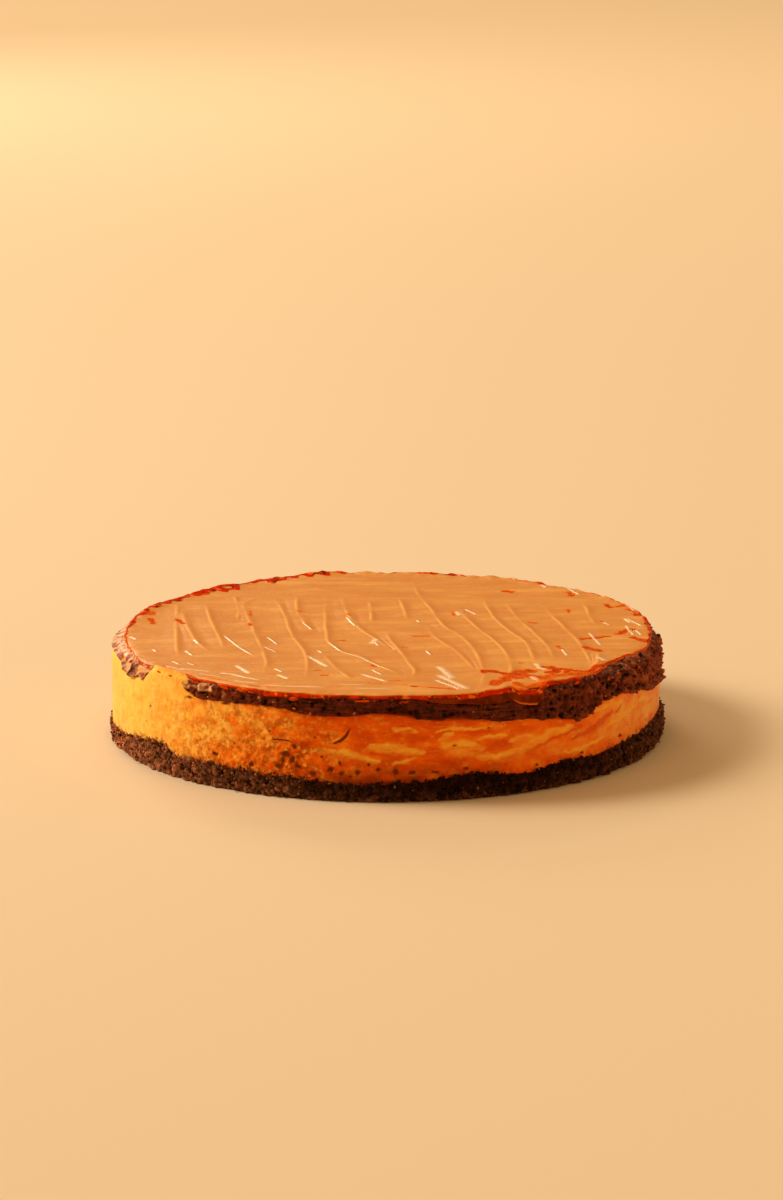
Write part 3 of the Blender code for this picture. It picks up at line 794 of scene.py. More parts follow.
# The crests left by the knife, each along its own line of (x, y), from the back to the front
CRESTS = (
    ((-94.6, 50.3), (-92.8, 14.6), (-91.2, -19.7), (-88.3, -52.7)),
    ((-91.8, 35.9), (-89.7, 18.1), (-86.3, -2.7), (-82.5, -23.0), (-75.8, -42.9)),
    ((-81.9, 54.0), (-79.1, 28.7), (-76.6, 7.7), (-72.2, -19.7), (-69.6, -36.3)),
    ((-69.6, 68.7), (-66.2, 43.1), (-66.0, 18.1)),
    ((-55.7, 66.9), (-64.3, 57.6), (-64.5, 43.1), (-59.8, 11.1), (-56.0, -19.7), (-52.0, -46.2),
     (-50.5, -65.5), (-51.7, -81.3)),
    ((-51.6, 65.0), (-47.8, 46.7), (-44.2, 18.1), (-41.6, -9.5), (-38.0, -26.4), (-34.5, -46.2),
     (-33.1, -71.9), (-33.5, -90.6)),
    ((-41.1, 68.7), (-40.3, 35.9), (-35.8, 11.1), (-31.6, -2.7)),
    ((-27.7, 72.5), (-27.4, 28.7), (-26.4, -6.1), (-25.4, -23.0), (-22.5, -33.0), (-18.6, -42.9),
     (-10.9, -49.4), (-5.5, -65.5), (2.7, -75.6), (5.6, -84.4)),
    ((-20.7, 65.0), (-17.9, 35.9), (-14.5, 11.1), (-10.5, -2.7), (-4.1, -19.7), (2.1, -36.3)),
    ((-7.7, 54.0), (-6.6, 14.6)), ((-26.9, -46.2), (-22.0, -68.7), (-17.3, -84.4), (-14.6, -91.2)),
    ((-0.2, -2.7), (1.3, -19.7), (5.9, -39.6), (9.7, -62.3), (11.9, -75.0), (10.9, -90.6)),
    ((5.3, 61.3), (7.7, 39.5), (9.2, 18.1)),
    ((12.0, 102.8), (13.5, 76.2), (17.4, 54.0), (21.2, 28.7), (25.6, 0.7), (31.7, -9.5),
     (36.0, -29.7), (39.0, -49.4), (40.5, -71.9), (40.5, -90.6), (38.6, -104.4)),
    ((17.8, 4.2), (20.0, -12.9), (24.5, -26.4), (29.7, -39.6), (33.9, -59.1), (37.3, -75.0)),
    ((31.8, 46.7), (34.7, 25.2), (39.0, 4.2), (44.1, -12.9), (47.6, -26.4), (50.9, -46.2),
     (52.6, -65.5), (52.4, -78.2), (49.8, -84.4)),
    ((43.6, 68.7), (44.7, 46.7), (47.4, 25.2), (50.9, 7.7), (55.0, -9.5), (59.4, -19.7),
     (61.2, -33.0), (62.1, -52.7), (62.6, -62.3)),
    ((53.9, 57.6), (56.3, 32.3), (60.4, 11.1), (63.8, -2.7), (67.1, -19.7), (69.9, -36.3),
     (70.8, -57.5)),
    ((71.2, 46.7), (73.6, 25.2), (76.9, 11.1), (80.7, -9.5), (83.2, -23.0), (84.7, -39.6),
     (86.2, -55.9), (85.6, -71.9)),
    ((89.1, 50.3), (90.2, 25.2), (91.9, 11.1)), ((90.8, -42.9), (89.5, -59.1), (86.1, -73.4)),
)
# Raised lips that catch the light and carry a painted glint: (half width, then the line of (x, y))
LIPS = (
    (0.8, (-70.7, -11.2), (-63.0, -34.0), (-56.5, -49.4)), (0.7, (-51.4, -14.6), (-46.6, -28.7)),
    (0.7, (-52.2, -33.3), (-46.6, -43.1)), (1.5, (-63.1, -65.5), (-56.5, -81.3)),
    (1.4, (-33.3, -49.4), (-23.9, -70.3)), (1.4, (-44.9, -82.9), (-40.2, -90.6)),
    (1.4, (-10.2, -81.3), (1.0, -95.2)),
    (0.7, (-25.3, -22.5), (-19.3, -40.9), (-10.3, -53.1), (2.7, -76.8)),
    (0.9, (-85.8, -39.4), (-82.1, -48.5)), (0.9, (-90.1, -58.1), (-87.0, -63.5)),
    (0.9, (-84.0, -60.5), (-80.5, -65.6)), (0.6, (-36.9, 14.1), (-32.2, -0.4)),
    (1.0, (-46.4, -72.4), (-43.1, -78.8)), (0.8, (-17.6, 23.9), (-13.3, 6.0)),
    (1.0, (-82.8, -20.9), (-80.6, -28.7)), (0.9, (-99.8, -36.4), (-98.1, -40.9)),
    (0.9, (-28.9, -39.4), (-27.1, -44.0)), (1.7, (-5.7, -26.4), (-3.4, -17.7)),
    (0.8, (-5.7, -73.8), (-1.5, -82.6)), (0.7, (-5.9, -19.3), (-3.0, -30.2)),
    (1.9, (22.1, -66.2), (28.3, -89.1)), (1.9, (21.5, -81.3), (34.6, -107.6)),
    (1.0, (20.4, -90.3), (31.2, -107.7)), (1.0, (35.4, 40.6), (40.6, 29.6)),
    (1.5, (31.5, 35.5), (32.9, 26.4)), (1.6, (63.2, -62.3), (64.8, -71.9), (68.0, -75.0)),
    (1.6, (60.6, -84.4), (62.9, -92.2)), (0.9, (88.8, -4.4), (92.9, -29.7)),
    (0.9, (105.7, 8.2), (108.0, -10.7)), (0.9, (105.7, 20.7), (108.2, 12.6)),
    (0.9, (109.4, -0.1), (111.5, -10.7)), (0.8, (95.8, 14.9), (98.7, 9.2)),
    (1.8, (90.5, -51.7), (92.9, -58.5)), (0.8, (83.2, 83.4), (88.1, 68.9)),
    (1.1, (105.0, 61.3), (111.6, 35.9)), (0.8, (75.4, -35.2), (77.4, -49.1)),
    (0.9, (13.6, 17.3), (15.1, 13.3)), (0.7, (17.3, -39.1), (19.4, -47.0)),
    (1.0, (106.7, 21.7), (113.0, 5.9)), (1.1, (-49.6, -100.5), (-39.2, -102.9), (-23.7, -105.3)),
    (1.2, (-69.7, -78.2), (-63.6, -81.9), (-58.1, -87.5), (-51.3, -92.2)),
    (1.0, (-86.6, -70.3), (-72.8, -76.6)), (0.9, (-63.0, -92.6), (-52.0, -98.0)),
    (0.8, (-19.2, -99.8), (-8.0, -101.4)), (0.8, (-12.0, -106.6), (4.0, -108.4)),
    (0.8, (-78.0, -80.0), (-68.0, -86.0)), (0.9, (-92.6, -66.0), (-84.0, -74.0)),
    (1.2, (-110.2, -42.9), (-105.0, -52.7)), (1.2, (-111.0, -12.9), (-108.0, -18.0)),
    (0.9, (71.3, 91.3), (73.5, 83.7)), (0.9, (57.0, 108.6), (60.1, 100.9)),
)
# How wide the thin red rim is, as (degrees round, width)
RED_RIM = (
    (-178, 1.2), (-170, 0.5), (-158, 0.25), (-150, 0.2), (-130, 0.3), (-100, 0.3), (-60, 0.4),
    (-40, 0.7), (-20, 0.9), (0, 1.1), (20, 2.0), (45, 1.4), (62, 0.9), (70, 3.0), (80, 5.0),
    (86, 1.6), (94, 1.4), (100, 3.4), (106, 7.4), (112, 4.6), (118, 7.0), (126, 3.4), (131, 8.0),
    (138, 6.4), (146, 4.0), (152, 5.0), (158, 3.4), (164, 3.6), (170, 2.6),
)
# How far the rim sags, as (degrees round, depth)
RIM_SAG = (
    (-170, 0.0), (-72, 0.0), (-67, -0.6), (-64.3, -1.1), (-62, 0.4), (-60, 1.2), (-57.5, 1.0),
    (-54.5, -0.8), (-51, 0.0), (-44, 0.7), (-38, 0.0), (-30, -0.2), (-20, 0.2), (10, 0.0),
    (30, -0.5), (50, 0.2), (62, -0.6), (72, 0.0), (80, -0.9), (90, 0.0), (106, -1.3), (112, -0.6),
    (119, -1.3), (126, -0.6), (132, -1.4), (140, -1.2), (148, -0.6), (157, -1.2), (166, -0.7),
)
# How far in from the rim the wet pools reach, as (degrees round, width)
POOLS = (
    (-142, 0.0), (-72, 0.0), (-66, 0.5), (-62, 5.0), (-56, 8.0), (-50, 7.0), (-42, 3.0), (-34, 1.5),
    (-24, 1.5), (-14, 2.0), (-8, 1.5), (4, 2.4), (14, 3.0), (24, 7.0), (34, 3.0), (50, 2.5),
    (60, 3.0), (68, 0.0), (96, 0.0), (104, 3.0), (112, 0.5), (160, 0.0),
)
# Thin wet places inside the rim: (half width, how red, then the line of (x, y))
WET_PLACES = (
    (3.2, 0.9, (41.9, -76.3), (45.5, -77.5)), (1.6, 0.9, (45.5, -77.5), (49.9, -80.0)),
    (4.0, 0.6, (45.0, -97.8), (48.8, -91.2), (52.8, -83.5), (57.5, -78.5), (61.2, -76.6)),
    (3.6, 0.5, (53.8, -88.1), (58.7, -85.0), (64.2, -88.1)),
    (2.6, 0.3, (53.9, -96.8), (60.4, -100.5), (64.2, -96.8)),
    (3.6, 0.8, (66.1, -69.3), (69.0, -70.6), (73.5, -73.8), (70.1, -78.8)),
    (2.0, 1.0, (74.7, -77.2), (77.1, -73.8), (80.0, -75.6), (86.0, -75.0), (90.2, -66.1),
     (95.1, -59.1), (98.8, -54.3)),
    (3.4, 0.2, (68.3, -86.3), (76.0, -81.9), (84.3, -78.0)),
    (2.2, 0.85, (85.9, -16.3), (89.8, -14.3), (96.2, -12.2)), (2.6, 0.9, (102.3, -6.8), (106.9, 1.4)),
    (2.6, 0.8, (86.2, -33.0), (91.3, -38.3)), (2.6, 0.8, (107.4, -14.6), (112.0, -19.4)),
    (2.0, 0.8, (110.0, 39.5), (111.8, 28.0)), (2.0, 0.8, (98.9, 50.3), (100.9, 42.4)),
    (2.4, 0.9, (54.4, 78.1), (57.5, 76.2)), (2.2, 0.9, (20.6, 116.4), (32.1, 112.7)),
    (1.4, 0.9, (6.8, -33.0), (9.2, -33.0)), (4.0, 0.3, (-109.6, 32.9), (-105.0, 30.9)),
    (0.9, 0.9, (-59.0, -99.0), (-52.0, -102.6), (-44.0, -105.2)),
    (0.6, 0.9, (-40.0, -100.4), (-26.0, -103.2), (-18.0, -103.6)),
    (0.8, 0.9, (-76.0, -84.6), (-66.0, -92.6)), (0.8, 1.0, (-88.6, -75.2), (-79.6, -83.6)),
    (0.8, 0.8, (-94.0, -66.4), (-88.0, -72.0)), (0.6, 0.7, (-72.0, -70.4), (-66.0, -74.8)),
    (0.8, 0.8, (-7.0, -97.4), (9.0, -99.6)), (1.3, 0.8, (11.0, -101.6), (29.0, -106.6)),
    (0.9, 0.8, (2.0, -93.0), (7.0, -91.6)), (1.5, 0.9, (-93.4, 20.6), (-89.6, 11.0)),
    (1.4, 0.9, (-60.6, 13.0), (-59.4, 6.6)), (1.0, 0.5, (-60.8, 37.0), (-60.4, 27.4)),
    (1.3, 0.9, (-29.8, -75.3), (-27.4, -75.3)), (1.2, 0.8, (-26.6, -84.0), (-24.4, -84.0)),
    (1.3, 0.9, (-6.2, -65.0), (-4.2, -68.0)), (1.2, 0.3, (-39.6, 37.2), (-36.4, 37.2)),
    (1.0, 0.4, (-17.4, 30.6), (-15.6, 27.0)), (1.2, 0.5, (-22.0, -19.3), (-18.2, -19.3)),
    (1.3, 0.6, (30.0, 34.0), (30.0, 28.0)), (1.4, 0.6, (12.0, -12.7), (18.6, -12.7)),
    (1.3, 0.6, (63.2, 15.4), (66.2, 14.2)), (1.3, 0.8, (74.0, -30.6), (75.2, -35.6)),
    (1.2, 0.7, (56.2, -62.5), (58.0, -62.5)), (1.3, 0.7, (95.4, 16.4), (95.8, 13.0)),
    (1.2, 0.6, (81.6, 40.0), (81.6, 34.0)), (2.0, 0.6, (84.0, 74.0), (84.4, 67.0)),
    (2.4, 0.3, (-88.0, 70.0), (-82.0, 72.4)), (2.0, 0.7, (-104.0, 20.4), (-103.0, 12.0)),
)
# Tongues of the film that ran down the chocolate, each a lower edge of (degrees, height)
TONGUES = (
    ((-65.6, 42.8), (-64.8, 41.2), (-63.6, 39.6), (-62.4, 38.5), (-60.7, 37.7), (-58.8, 37.4),
     (-57.6, 38.4), (-56.8, 39.9), (-56.0, 41.6), (-55.0, 43.0)),
    ((-48.0, 43.2), (-46.6, 41.6), (-44.4, 41.2), (-42.6, 43.0)),
    ((38.0, 43.0), (40.0, 41.0), (42.5, 39.6), (45.0, 40.8), (47.0, 43.0)),
    ((99.0, 43.0), (101.0, 41.2), (103.0, 38.8), (105.0, 38.4), (107.0, 40.8), (109.0, 43.0)),
)
CARAMEL_TAN = (0.635, 0.238, 0.024)
CARAMEL_STREAK_AND_GLOW = (0.97, 0.45, 0.09)
CARAMEL_PAINTED_GLINT = (0.96, 0.66, 0.4)
CARAMEL_DEEP_TONE_AND_SHADE = (0.6, 0.185, 0.012)
CARAMEL_AMBER = (0.62, 0.1, 0.004)
CARAMEL_RED = (0.58, 0.055, 0.0003)
CARAMEL_DARK = (0.34, 0.022, 0.0003)
WET_EDGE = (0.76, 0.18, 0.012)
CARAMEL_BROWN = (0.12, 0.014, 0.001)
FILM_LIGHT = (0.24, 0.036, 0.003)
RIM_RED_AND_GLOW = (0.6, 0.022, 0.0004)
RIM_DARK = (0.2, 0.014, 0.001)
RIM_ORANGE_AND_GLOW = (0.85, 0.15, 0.006)


def lines_near(x, y, lines, reach):
    """How far each point is to the right of the nearest line, in the line's own widths."""
    off, strong = np.full_like(x, FAR_OFF), np.zeros_like(x)
    for wide, *line in lines:
        beside, abreast = beside_line(x, y, line)
        beside = beside / wide
        here = abs(beside) < abs(off)
        off = np.where(here, beside, off)
        strong = np.where(here, np.clip(2.4 * abreast, 0, 1) * (abs(beside) < reach), strong)
    return off, strong


def wet_here(x, y, places):
    """How wet and thin the caramel is here, and how red."""
    wet, red = np.zeros_like(x), np.zeros_like(x)
    drift = 1.1 * waves(places + (0, 0, 30), 3.6) + 0.5 * waves(places + (0, 0, 60), 1.6)
    for half_width, how_red, *line in WET_PLACES:
        beside, _ = beside_line(x, y, line)
        share = np.clip((half_width * (0.95 + 0.6 * drift) + 0.1 - abs(beside)) / 1.5, 0, 1)
        red = np.where(share > wet, how_red * (0.35 + 0.65 * share), red)
        wet = np.maximum(wet, share)
    return wet, red


def rounded(line):
    """The line with its corners cut."""
    line = np.array(line)
    cut = np.stack([0.75 * line[:-1] + 0.25 * line[1:], 0.25 * line[:-1] + 0.75 * line[1:]], axis=1)
    return [line[0], *cut.reshape(-1, 2)[1:-1], line[-1]]


CREST_LINES = [(1.0, *rounded(line)) for line in CRESTS]


def spread_surface(x, y, rim):
    """The caramel's height here, with its paint; rim is the distance from its edge."""
    here = np.stack([x, y, np.zeros_like(x)], axis=-1)
    turned = np.arctan2(y, x)
    bent = x + 0.4 * waves(here + (0, 0, 15), 14.0)
    crest_off, crest = lines_near(bent, y, CREST_LINES, FAR_OFF)
    rise, fall = CREST_REACH
    side = np.exp(-(crest_off / np.where(crest_off < 0, rise, fall)) ** 2)
    broken = np.clip(0.8 + 1.1 * waves(here + (0, 0, 40), 18.0), 0.35, 1)
    height = CARAMEL_LEVEL + SPREAD_SWELL * np.sin(y / 29 + x / 17)
    height = height + CREST_HEIGHT * crest * broken * side
    height = height + 0.1 * waves(here * (0.09, 0.5, 1), 1.0)
    ripple = waves(here + (0, 0, 90), 5.0)
    pool = np.clip((eased_ring(POOLS, turned) * (1 + 0.5 * ripple) - rim) / 0.9, 0, 1)
    wet, red = wet_here(x, y, here)
    cloudy = np.clip(0.5 + 1.6 * waves(here * (0.7, 0.35, 1) + (0, 0, 20), 3.2), 0, 1)
    red = np.where(wet > 0.5 * pool, red, cloudy)
    wet = np.maximum(wet, pool * np.clip(0.4 + 2.4 * waves(here * (0.5, 1, 1) + (0, 0, 77), 6.0), 0, 1))
    lip_off, lip = lines_near(x, y, LIPS, 2.6)
    height = height - WET_DEPTH * wet + 0.16 * wet * waves(here + (0, 0, 10), 2.4)
    height = height - RIM_ROUNDING * np.exp(-np.clip(rim, 0, None) / 0.8)
    height = height - eased_ring(RIM_SAG, turned) * np.exp(-(np.clip(rim, 0, None) / 5.0) ** 2)
    uneven = 0.25 + 0.75 * np.clip(np.sin(turned), 0, 1)
    height = height + uneven * waves(here + (0, 0, 50), 4.0) * np.exp(-np.clip(rim, 0, None) / 5.0)
    width = eased_ring(RED_RIM, turned) * (1 + 0.9 * ripple)
    at_rim = np.clip((width - rim) / np.clip(0.6 * width, 0.3, 1.2), 0, 1)
    paint = {
        "crest": broken * crest * (1 - wet) * (abs(crest_off) < 2.6), "crest_off": crest_off,
        # Painted shade in the lee just past each crest
        "painted_lee_shade": broken * crest * np.exp(-((crest_off - 1.6) / 2.6) ** 2) * (crest_off > 0),
        "lip": lip, "lip_off": lip_off, "wet": np.maximum(wet, at_rim), "rim": at_rim,
        "red": np.maximum(red, at_rim), "drop": -rim,
    }
    return height, paint


turn = angles(CARAMEL_STEPS)
edge_wave = waves(around(TIN_RADIUS, turn, 50.0), 7.0) + 0.5 * waves(around(TIN_RADIUS, turn, 55.0), 2.5)
outline = eased_ring(CARAMEL_OUTLINE, turn) + 0.55 * edge_wave
low_edge = eased_ring(CHOCOLATE_EDGE, turn) - 0.25
low_edge = low_edge - 0.5 * np.clip(waves(around(TIN_RADIUS, turn, 70.0), 4.0), 0, 1)
in_tongue = np.zeros(CARAMEL_STEPS)
for line in TONGUES:
    degrees = (np.degrees(turn) + 180) % 360 - 180
    tongue = np.interp(degrees, *np.transpose(line), left=99.0, right=99.0)
    in_tongue = np.maximum(in_tongue, np.clip((low_edge - tongue) / 1.2, 0, 1))
    low_edge = np.minimum(low_edge, tongue + 0.25 * waves(around(TIN_RADIUS, turn, 90.0), 1.6))
# The film's lower edge is rolled up on the side where it falls
falling = in_tongue * np.clip(1 - np.gradient(low_edge) / 0.22, 0, 1)
points, faces = [], []
paint_names = (
    "crest", "crest_off", "painted_lee_shade", "lip", "lip_off", "wet", "rim", "red", "drop", "above", "coat",
)
paints = {share: [] for share in paint_names}


def lay_ring(ring, paint):
    """Adds a ring of the caramel's points and returns their numbers."""
    start = sum(len(part) for part in points)
    points.append(ring)
    for share in paints:
        paints[share].append(np.broadcast_to(paint.get(share, 0.0), (len(ring),)))
    return list(range(start, start + len(ring)))


def join_rings(outer, inner):
    """Faces between a ring and the next one inside it, with as many points or half."""
    count, ratio = len(outer), len(outer) // len(inner)
    for i in range(len(inner)):
        first, after = i * ratio, (i + 1) % len(inner)
        if ratio == 1:
            faces.append((outer[i], outer[after], inner[after], inner[i]))
        else:
            faces.append((outer[first], outer[first + 1], inner[i]))
            faces.append((outer[first + 1], outer[(first + 2) % count], inner[after], inner[i]))


def half_of(values):
    return values[::2]


rim_height, _ = spread_surface(*around(outline, turn, 0.0).T[:2], np.zeros(CARAMEL_STEPS))
hanging = np.clip((rim_height - low_edge - 1.8) / 2.4, 0, 1)
flare = (TIN_RADIUS + 0.5 - outline) * hanging
side_paint = {"wet": 0.3, "red": 1.0, "lip_off": FAR_OFF, "crest_off": FAR_OFF, "rim": 1.0}
side_paint["coat"] = np.clip(2.0 * eased_ring(COATED, turn) - 1.0, 0, 1)
hidden_foot = around(outline - UNDER_RIM, turn, low_edge - 0.1)
ring_before = lay_ring(hidden_foot, side_paint | {"drop": FAR_OFF})
for share in SIDE_SHARES:
    reach = outline + 0.5 * math.sin(math.pi * min(share + 0.12, 1.0)) ** 0.8
    reach = reach + flare * (1 - share) ** (1.1 - 0.7 * in_tongue)
    height = low_edge + (rim_height - low_edge) * share
    rolled = falling * np.exp(-((height - low_edge - 0.3) / 0.4) ** 2)
    rolled = rolled * np.clip((41.0 - low_edge) / 2.2, 0, 1)
    reach = reach + 0.5 * rolled + 0.3 * hanging * waves(around(TIN_RADIUS, turn, height), 2.6)
    side_paint["drop"] = rim_height - height
    side_paint["above"] = rolled
    ring = lay_ring(around(reach, turn, height), side_paint)
    join_rings(ring_before, ring)
    ring_before = ring
distances = list(NEAR_RIM)
inside = outline - NEAR_RIM[-1]
while inside.min() > TOP_RING_STEP:
    steps = len(turn)
    if distances:
        inside = outline - distances.pop(0)
    else:
        inside = inside * (1 - TOP_RING_STEP / inside.max())
    rim = outline - inside
    if steps > 135 and inside.mean() < HALVING_RADII[int(math.log2(CARAMEL_STEPS / steps))]:
        turn, inside, outline, rim = (half_of(values) for values in (turn, inside, outline, rim))
    x, y, _ = around(inside, turn, 0.0).T
    height, paint = spread_surface(x, y, rim)
    ring = lay_ring(np.stack([x, y, height], axis=1), paint)
    join_rings(ring_before, ring)
    ring_before = ring
middle_paint = {"lip_off": FAR_OFF, "crest_off": FAR_OFF}
middle = lay_ring(np.array([(0.0, 0.0, height.mean())]), middle_paint)
faces.extend((a, b, middle[0]) for a, b in zip(ring_before, ring_before[1:] + ring_before[:1]))


def peak(off, before, after):
    """1 on a line, falling to 0 this far to the left of it and this far to the right."""
    return off.between(-before, 0.0).least(off.between(after, 0.0))


def caramel_finish(name, gloss, smoothest):
    """Tan caramel, dragged in fine lines, with painted glow on its crests, painted shade beside them,
    painted glints on its lips, and glassy red where thin.
    """
    material, tree, surface = new_finish(name, gloss, (1.0, 0.85, 0.7), 0.1, (1.5, 0.5, 0.1))
    here = place_in(tree)
    cloud = mottle(place_in(tree, (2.2, 1, 1)), 16.0)
    colour = mixed(cloud.between(0.38, 0.72), CARAMEL_TAN, CARAMEL_DEEP_TONE_AND_SHADE)
    line = mottle(place_in(tree, (9.0, 1.0, 1.0)), 4.0, 4.0, 0.6)
    colour = mixed(line.between(0.5, 0.72) * 0.2, colour, CARAMEL_STREAK_AND_GLOW)
    broad = mottle(place_in(tree, (3.0, 1.0, 1.0)), 9.0, 2.0)
    colour = mixed(broad.between(0.5, 0.7, 0.0, 0.3), colour, CARAMEL_STREAK_AND_GLOW)
    colour = mixed(line.between(0.48, 0.3) * 0.16, colour, CARAMEL_AMBER)
    # Painted shade: a darker band just past each crest
    colour = mixed(share_of(tree, "painted_lee_shade") * 0.9, colour, CARAMEL_DEEP_TONE_AND_SHADE)
    # Painted glow: the crests are lighter, standing in for light that scatters through the thin caramel
    crest = peak(share_of(tree, "crest_off"), 1.0, 1.2) * share_of(tree, "crest")
    colour = mixed(crest * 0.85, colour, CARAMEL_STREAK_AND_GLOW)
    # The thin wet places
    red = share_of(tree, "red") + mottle(here, 3.0).between(0.3, 0.7, -0.3, 0.3)
    glassy = mixed(red.between(0.3, 0.9), CARAMEL_AMBER, CARAMEL_RED)
    deep = mottle(place_in(tree, (1.6, 1, 1)), 2.4, 3.0, 0.6).between(0.5, 0.62)
    glassy = mixed(deep * red.between(0.4, 0.9), glassy, CARAMEL_DARK)
    wet = share_of(tree, "wet")
    colour = mixed(wet.between(0.12, 0.35), colour, WET_EDGE)
    colour = mixed(wet.between(0.35, 0.7), colour, glassy)
    # The rim, with its red band and bright line partly painted glow of light through thin caramel,
    # the film below it, and the milky coat of the left end with painted sheen
    edge = mixed(mottle(here, 5.0).between(0.51, 0.6), RIM_RED_AND_GLOW, RIM_DARK)
    edge = mixed(mottle(here, 3.2).between(0.58, 0.64), edge, RIM_ORANGE_AND_GLOW)
    film = mixed(mottle(here, 5.0).between(0.4, 0.65), CARAMEL_BROWN, FILM_LIGHT)
    drop = share_of(tree, "drop")
    low, high = RIM_BAND
    edge = mixed(drop.between(high - 0.3, high + 0.3), edge, film)
    # Painted glow: the bright orange line at the rim's top and along the film's rolled edge
    edge = mixed(peak(drop, 0.3, low).most(share_of(tree, "above")), edge, RIM_ORANGE_AND_GLOW)
    coat = drop.between(0.3, 0.6).most(mottle(here, 4.4).between(0.46, 0.54))
    # Painted sheen: the coat's pale blotches stand in for glossy highlights
    milky = mixed(mottle(here, 3.2, 4.0, 0.6).between(0.48, 0.56), *COATINGS)
    edge = mixed(coat * share_of(tree, "coat"), edge, milky)
    colour = mixed(share_of(tree, "rim").between(0.2, 0.8), colour, edge)
    # Painted glint: the lips are painted pale where they catch the light
    lip = peak(share_of(tree, "lip_off"), 1.0, 1.3) * share_of(tree, "lip")
    colour = mixed(lip * 0.9, colour, CARAMEL_PAINTED_GLINT)
    normal = raised_by(lip + crest * 0.15, LIP_HEIGHT)
    normal = raised_by(line, 0.1, normal)
    normal = raised_by(mottle(here, 3.5), 0.2, normal)
    normal = raised_by(mottle(here, 2.2, 2.0) * wet, 0.8, normal)
    roughness = mottle(here, 6.0).between(0.3, 0.7, smoothest, smoothest + 0.16)
    set_finish(surface, colour, roughness - lip * 0.12, normal)
    return material


paints = {share: np.concatenate(values) for share, values in paints.items()}
caramel = piece_of("caramel", np.concatenate(points), faces, paints)
caramel.data.materials.append(caramel_finish("caramel", 0.3, 0.32))
caramel.data.materials.append(caramel_finish("wet_caramel", 0.004, 0.1))
glassy = np.where(paints["drop"] > 0, 1.0, paints["wet"])
is_wet = [glassy[list(face)].mean() > 0.3 for face in faces]
caramel.data.polygons.foreach_set("material_index", np.array(is_wet, np.int32))
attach(caramel, "root")
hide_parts("caramel_topping")


# The flakes of caramel on the chocolate: streaks and chips that the tin's wall dragged down
# from the rim. Each lies flat against the crumb.
FLAKE_ROUND = 14
FLAKE_RINGS = 6
FLAKE_RAGGED = 0.25
# Each is (degrees round, height, half length, half height, thickness, slope)
FLAKES = (
    (-108.4, 42.4, 2.3, 0.9, 0.7, 0.06), (-147.2, 43.9, 1.5, 0.5, 0.5, 0.3),
    (-143.0, 43.4, 1.8, 0.4, 0.5, -0.1), (-139.0, 43.2, 1.6, 0.4, 0.5, -0.2),
    (-131.4, 43.4, 2.4, 0.5, 0.5, -0.15), (-124.0, 43.4, 2.2, 0.6, 0.6, -0.1),
    (-119.0, 43.2, 5.0, 0.5, 0.5, -0.04), (-114.6, 42.6, 3.0, 0.4, 0.5, 0.0),
    (-94.0, 42.7, 5.0, 0.45, 0.5, 0.02), (-86.0, 42.3, 3.0, 0.4, 0.5, 0.05),
    (-155.6, 42.6, 1.4, 0.6, 0.6, 0.4), (-161.0, 42.4, 1.2, 0.5, 0.6, -0.4),
    (-48.0, 42.9, 1.6, 0.6, 0.6, 0.2), (-38.6, 41.2, 1.2, 0.5, 0.6, 0.3),
    (-26.0, 40.6, 1.4, 0.6, 0.6, -0.3), (14.0, 42.8, 2.6, 0.5, 0.6, 0.1),
    (62.0, 42.6, 3.4, 0.5, 0.6, 0.0), (88.0, 42.6, 2.2, 0.6, 0.6, 0.1),
    (122.0, 41.6, 3.0, 0.6, 0.6, -0.1), (146.0, 41.6, 2.4, 0.5, 0.6, 0.2),
)

flake_points, flake_faces = [], []
for degrees, up, half_length, half_height, thick, slope in FLAKES:
    start = len(flake_points) * FLAKE_ROUND * FLAKE_RINGS
    around_it = angles(FLAKE_ROUND)[None, :]
    opening = np.linspace(1, 0.02, FLAKE_RINGS)[:, None]
    along = half_length * np.cos(around_it) * opening
    rise = half_height * np.sin(around_it) * opening + slope * along
    out = thick * np.sqrt(np.clip(1 - opening ** 2, 0, 1)) + np.zeros_like(along)
    turned = math.radians(degrees) + along / TIN_RADIUS
    reach = np.where(up + rise > 42.0, 119.2, 119.8) + out
    places = around(reach, turned, up + rise)
    places = places + FLAKE_RAGGED * waves(places, 1.1)[..., None]
    flake_points.append(places.reshape(-1, 3))
    index = start + np.arange(FLAKE_ROUND * FLAKE_RINGS).reshape(FLAKE_RINGS, -1)
    flake_faces.extend(quads_between(index))
    flake_faces.append(index[-1].tolist())

flake_points = np.concatenate(flake_points)
all_wet = np.ones(len(flake_points))
flakes = piece_of("caramel_flakes", flake_points, flake_faces, {"wet": all_wet, "red": all_wet})
flakes.data.materials.append(caramel.data.materials[1])
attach(flakes, "root")


# The table: a wide plain pale surface under the cake.
TABLE_CORNERS = ((-12, -9, 0), (12, -9, 0), (12, 15, 0), (-12, 15, 0))
TABLE_COLOUR = (0.75, 0.585, 0.4, 1)
TABLE_GLOSS = 0.1
TABLE_ROUGHNESS = 0.9

floor_mesh = bpy.data.meshes.new("floor")
floor_mesh.from_pydata(TABLE_CORNERS, [], [(0, 1, 2, 3)])
floor = bpy.data.objects.new("floor", floor_mesh)
bpy.context.scene.collection.objects.link(floor)
floor_finish, tree, surface = new_finish("pale_table", TABLE_GLOSS)
surface.inputs["Base Color"].default_value = TABLE_COLOUR
surface.inputs["Roughness"].default_value = TABLE_ROUGHNESS
floor_mesh.materials.append(floor_finish)


# The light: a broad soft one from the left, a box beside the cake on that side, one behind it
# that the caramel's lips mirror, a weak warm one from the right as if a wall threw it back,
# one on the backdrop, and a warm room all round.
DAYLIGHT_STRENGTH = 1.7
DAYLIGHT_SPREAD = math.radians(22)
DAYLIGHT_COLOUR = (1.0, 0.86, 0.66)
DAYLIGHT_PLACE = (-3.0, 0.42, 2.4)
ROOM_COLOUR = (1.0, 0.7, 0.36, 1)
ROOM_STRENGTH = 0.52
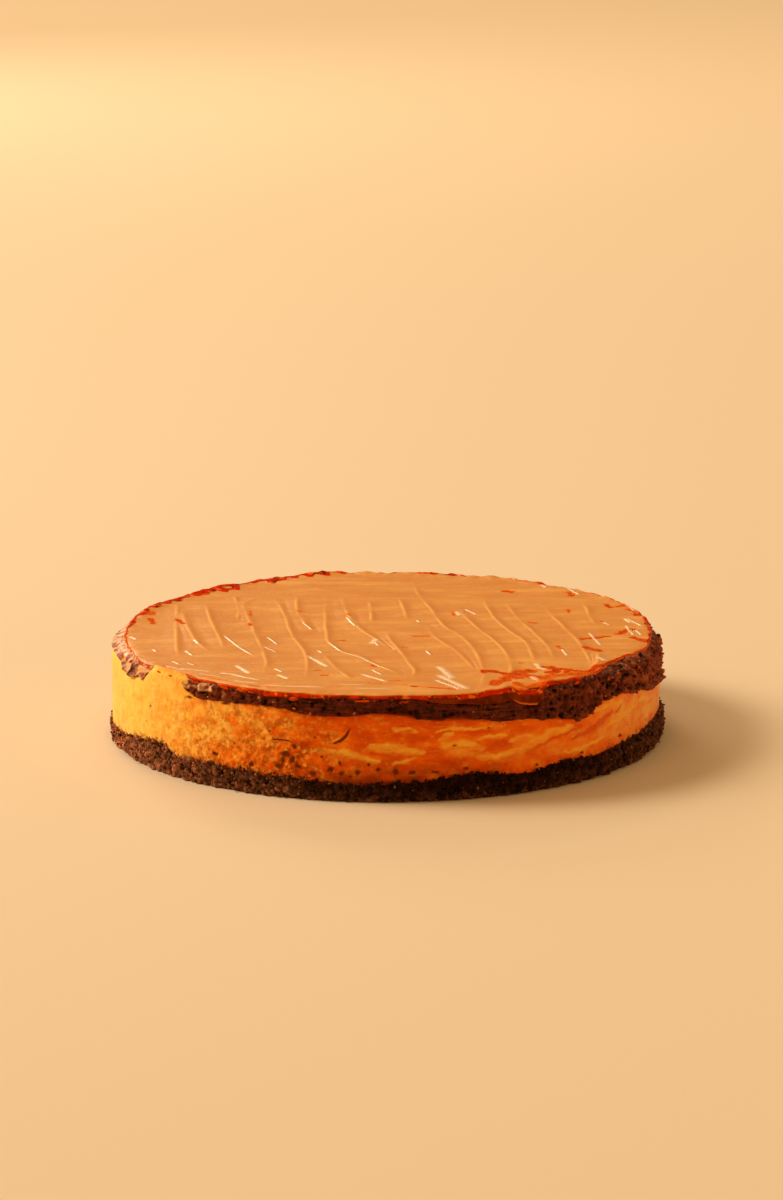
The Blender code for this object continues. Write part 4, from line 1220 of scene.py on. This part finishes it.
# Each is (name, place, aim, size, watts, colour, whether the caramel mirrors it)
SOFT_BOXES = (
    ("key", (-1.7, 0.3, 1.15), (0, 0, 0.03), (0.9, 0.9), 19, (1.0, 0.94, 0.84), False),
    ("back_left", (-1.5, 3.1, 1.25), (0, 0, 0.04), (1.3, 0.8), 26, (1.0, 0.9, 0.76), True),
    ("thrown_back", (1.7, -0.8, 0.42), (0, 0, 0.03), (1.2, 0.6), 4.2, (1.0, 0.42, 0.1), False),
    ("backdrop", (-1.3, 4.4, 3.0), (-0.7, 3.9, 0), (1.6, 1.0), 44, (1.0, 0.8, 0.55), True),
)


def place_light(light, place, aim, mirrored):
    holder = bpy.data.objects.new(light.name, light)
    holder.visible_glossy = mirrored
    holder.location = place
    holder.rotation_euler = (Vector(aim) - Vector(place)).to_track_quat("-Z", "Y").to_euler()
    holder.visible_camera = False
    bpy.context.scene.collection.objects.link(holder)


daylight = bpy.data.lights.new("daylight", "SUN")
daylight.energy = DAYLIGHT_STRENGTH
daylight.angle = DAYLIGHT_SPREAD
daylight.color = DAYLIGHT_COLOUR
place_light(daylight, DAYLIGHT_PLACE, (0, 0, 0), False)
for name, place, aim, size, watts, colour, mirrored in SOFT_BOXES:
    soft_box = bpy.data.lights.new(name, "AREA")
    soft_box.shape = "RECTANGLE"
    soft_box.size, soft_box.size_y = size
    soft_box.energy = watts
    soft_box.color = colour
    place_light(soft_box, place, aim, mirrored)
world = bpy.data.worlds.new("room")
world.use_nodes = True
world.node_tree.nodes["Background"].inputs["Color"].default_value = ROOM_COLOUR
world.node_tree.nodes["Background"].inputs["Strength"].default_value = ROOM_STRENGTH
bpy.context.scene.world = world


# The camera: a little above the cake, from the front.
LENS_LENGTH = 116.0
SENSOR_WIDTH = 36.0
FARTHEST_SEEN = 50
CAMERA_PLACE = (0.00245, -1.6506, 0.4308)
CAMERA_TILT = math.radians(77.282)

lens = bpy.data.cameras.new("camera")
lens.lens = LENS_LENGTH
lens.sensor_width = SENSOR_WIDTH
lens.clip_end = FARTHEST_SEEN
camera = bpy.data.objects.new("camera", lens)
camera.location = CAMERA_PLACE
camera.rotation_euler = (CAMERA_TILT, 0, 0)
bpy.context.scene.collection.objects.link(camera)
bpy.context.scene.camera = camera
bpy.context.scene.view_settings.view_transform = "Standard"
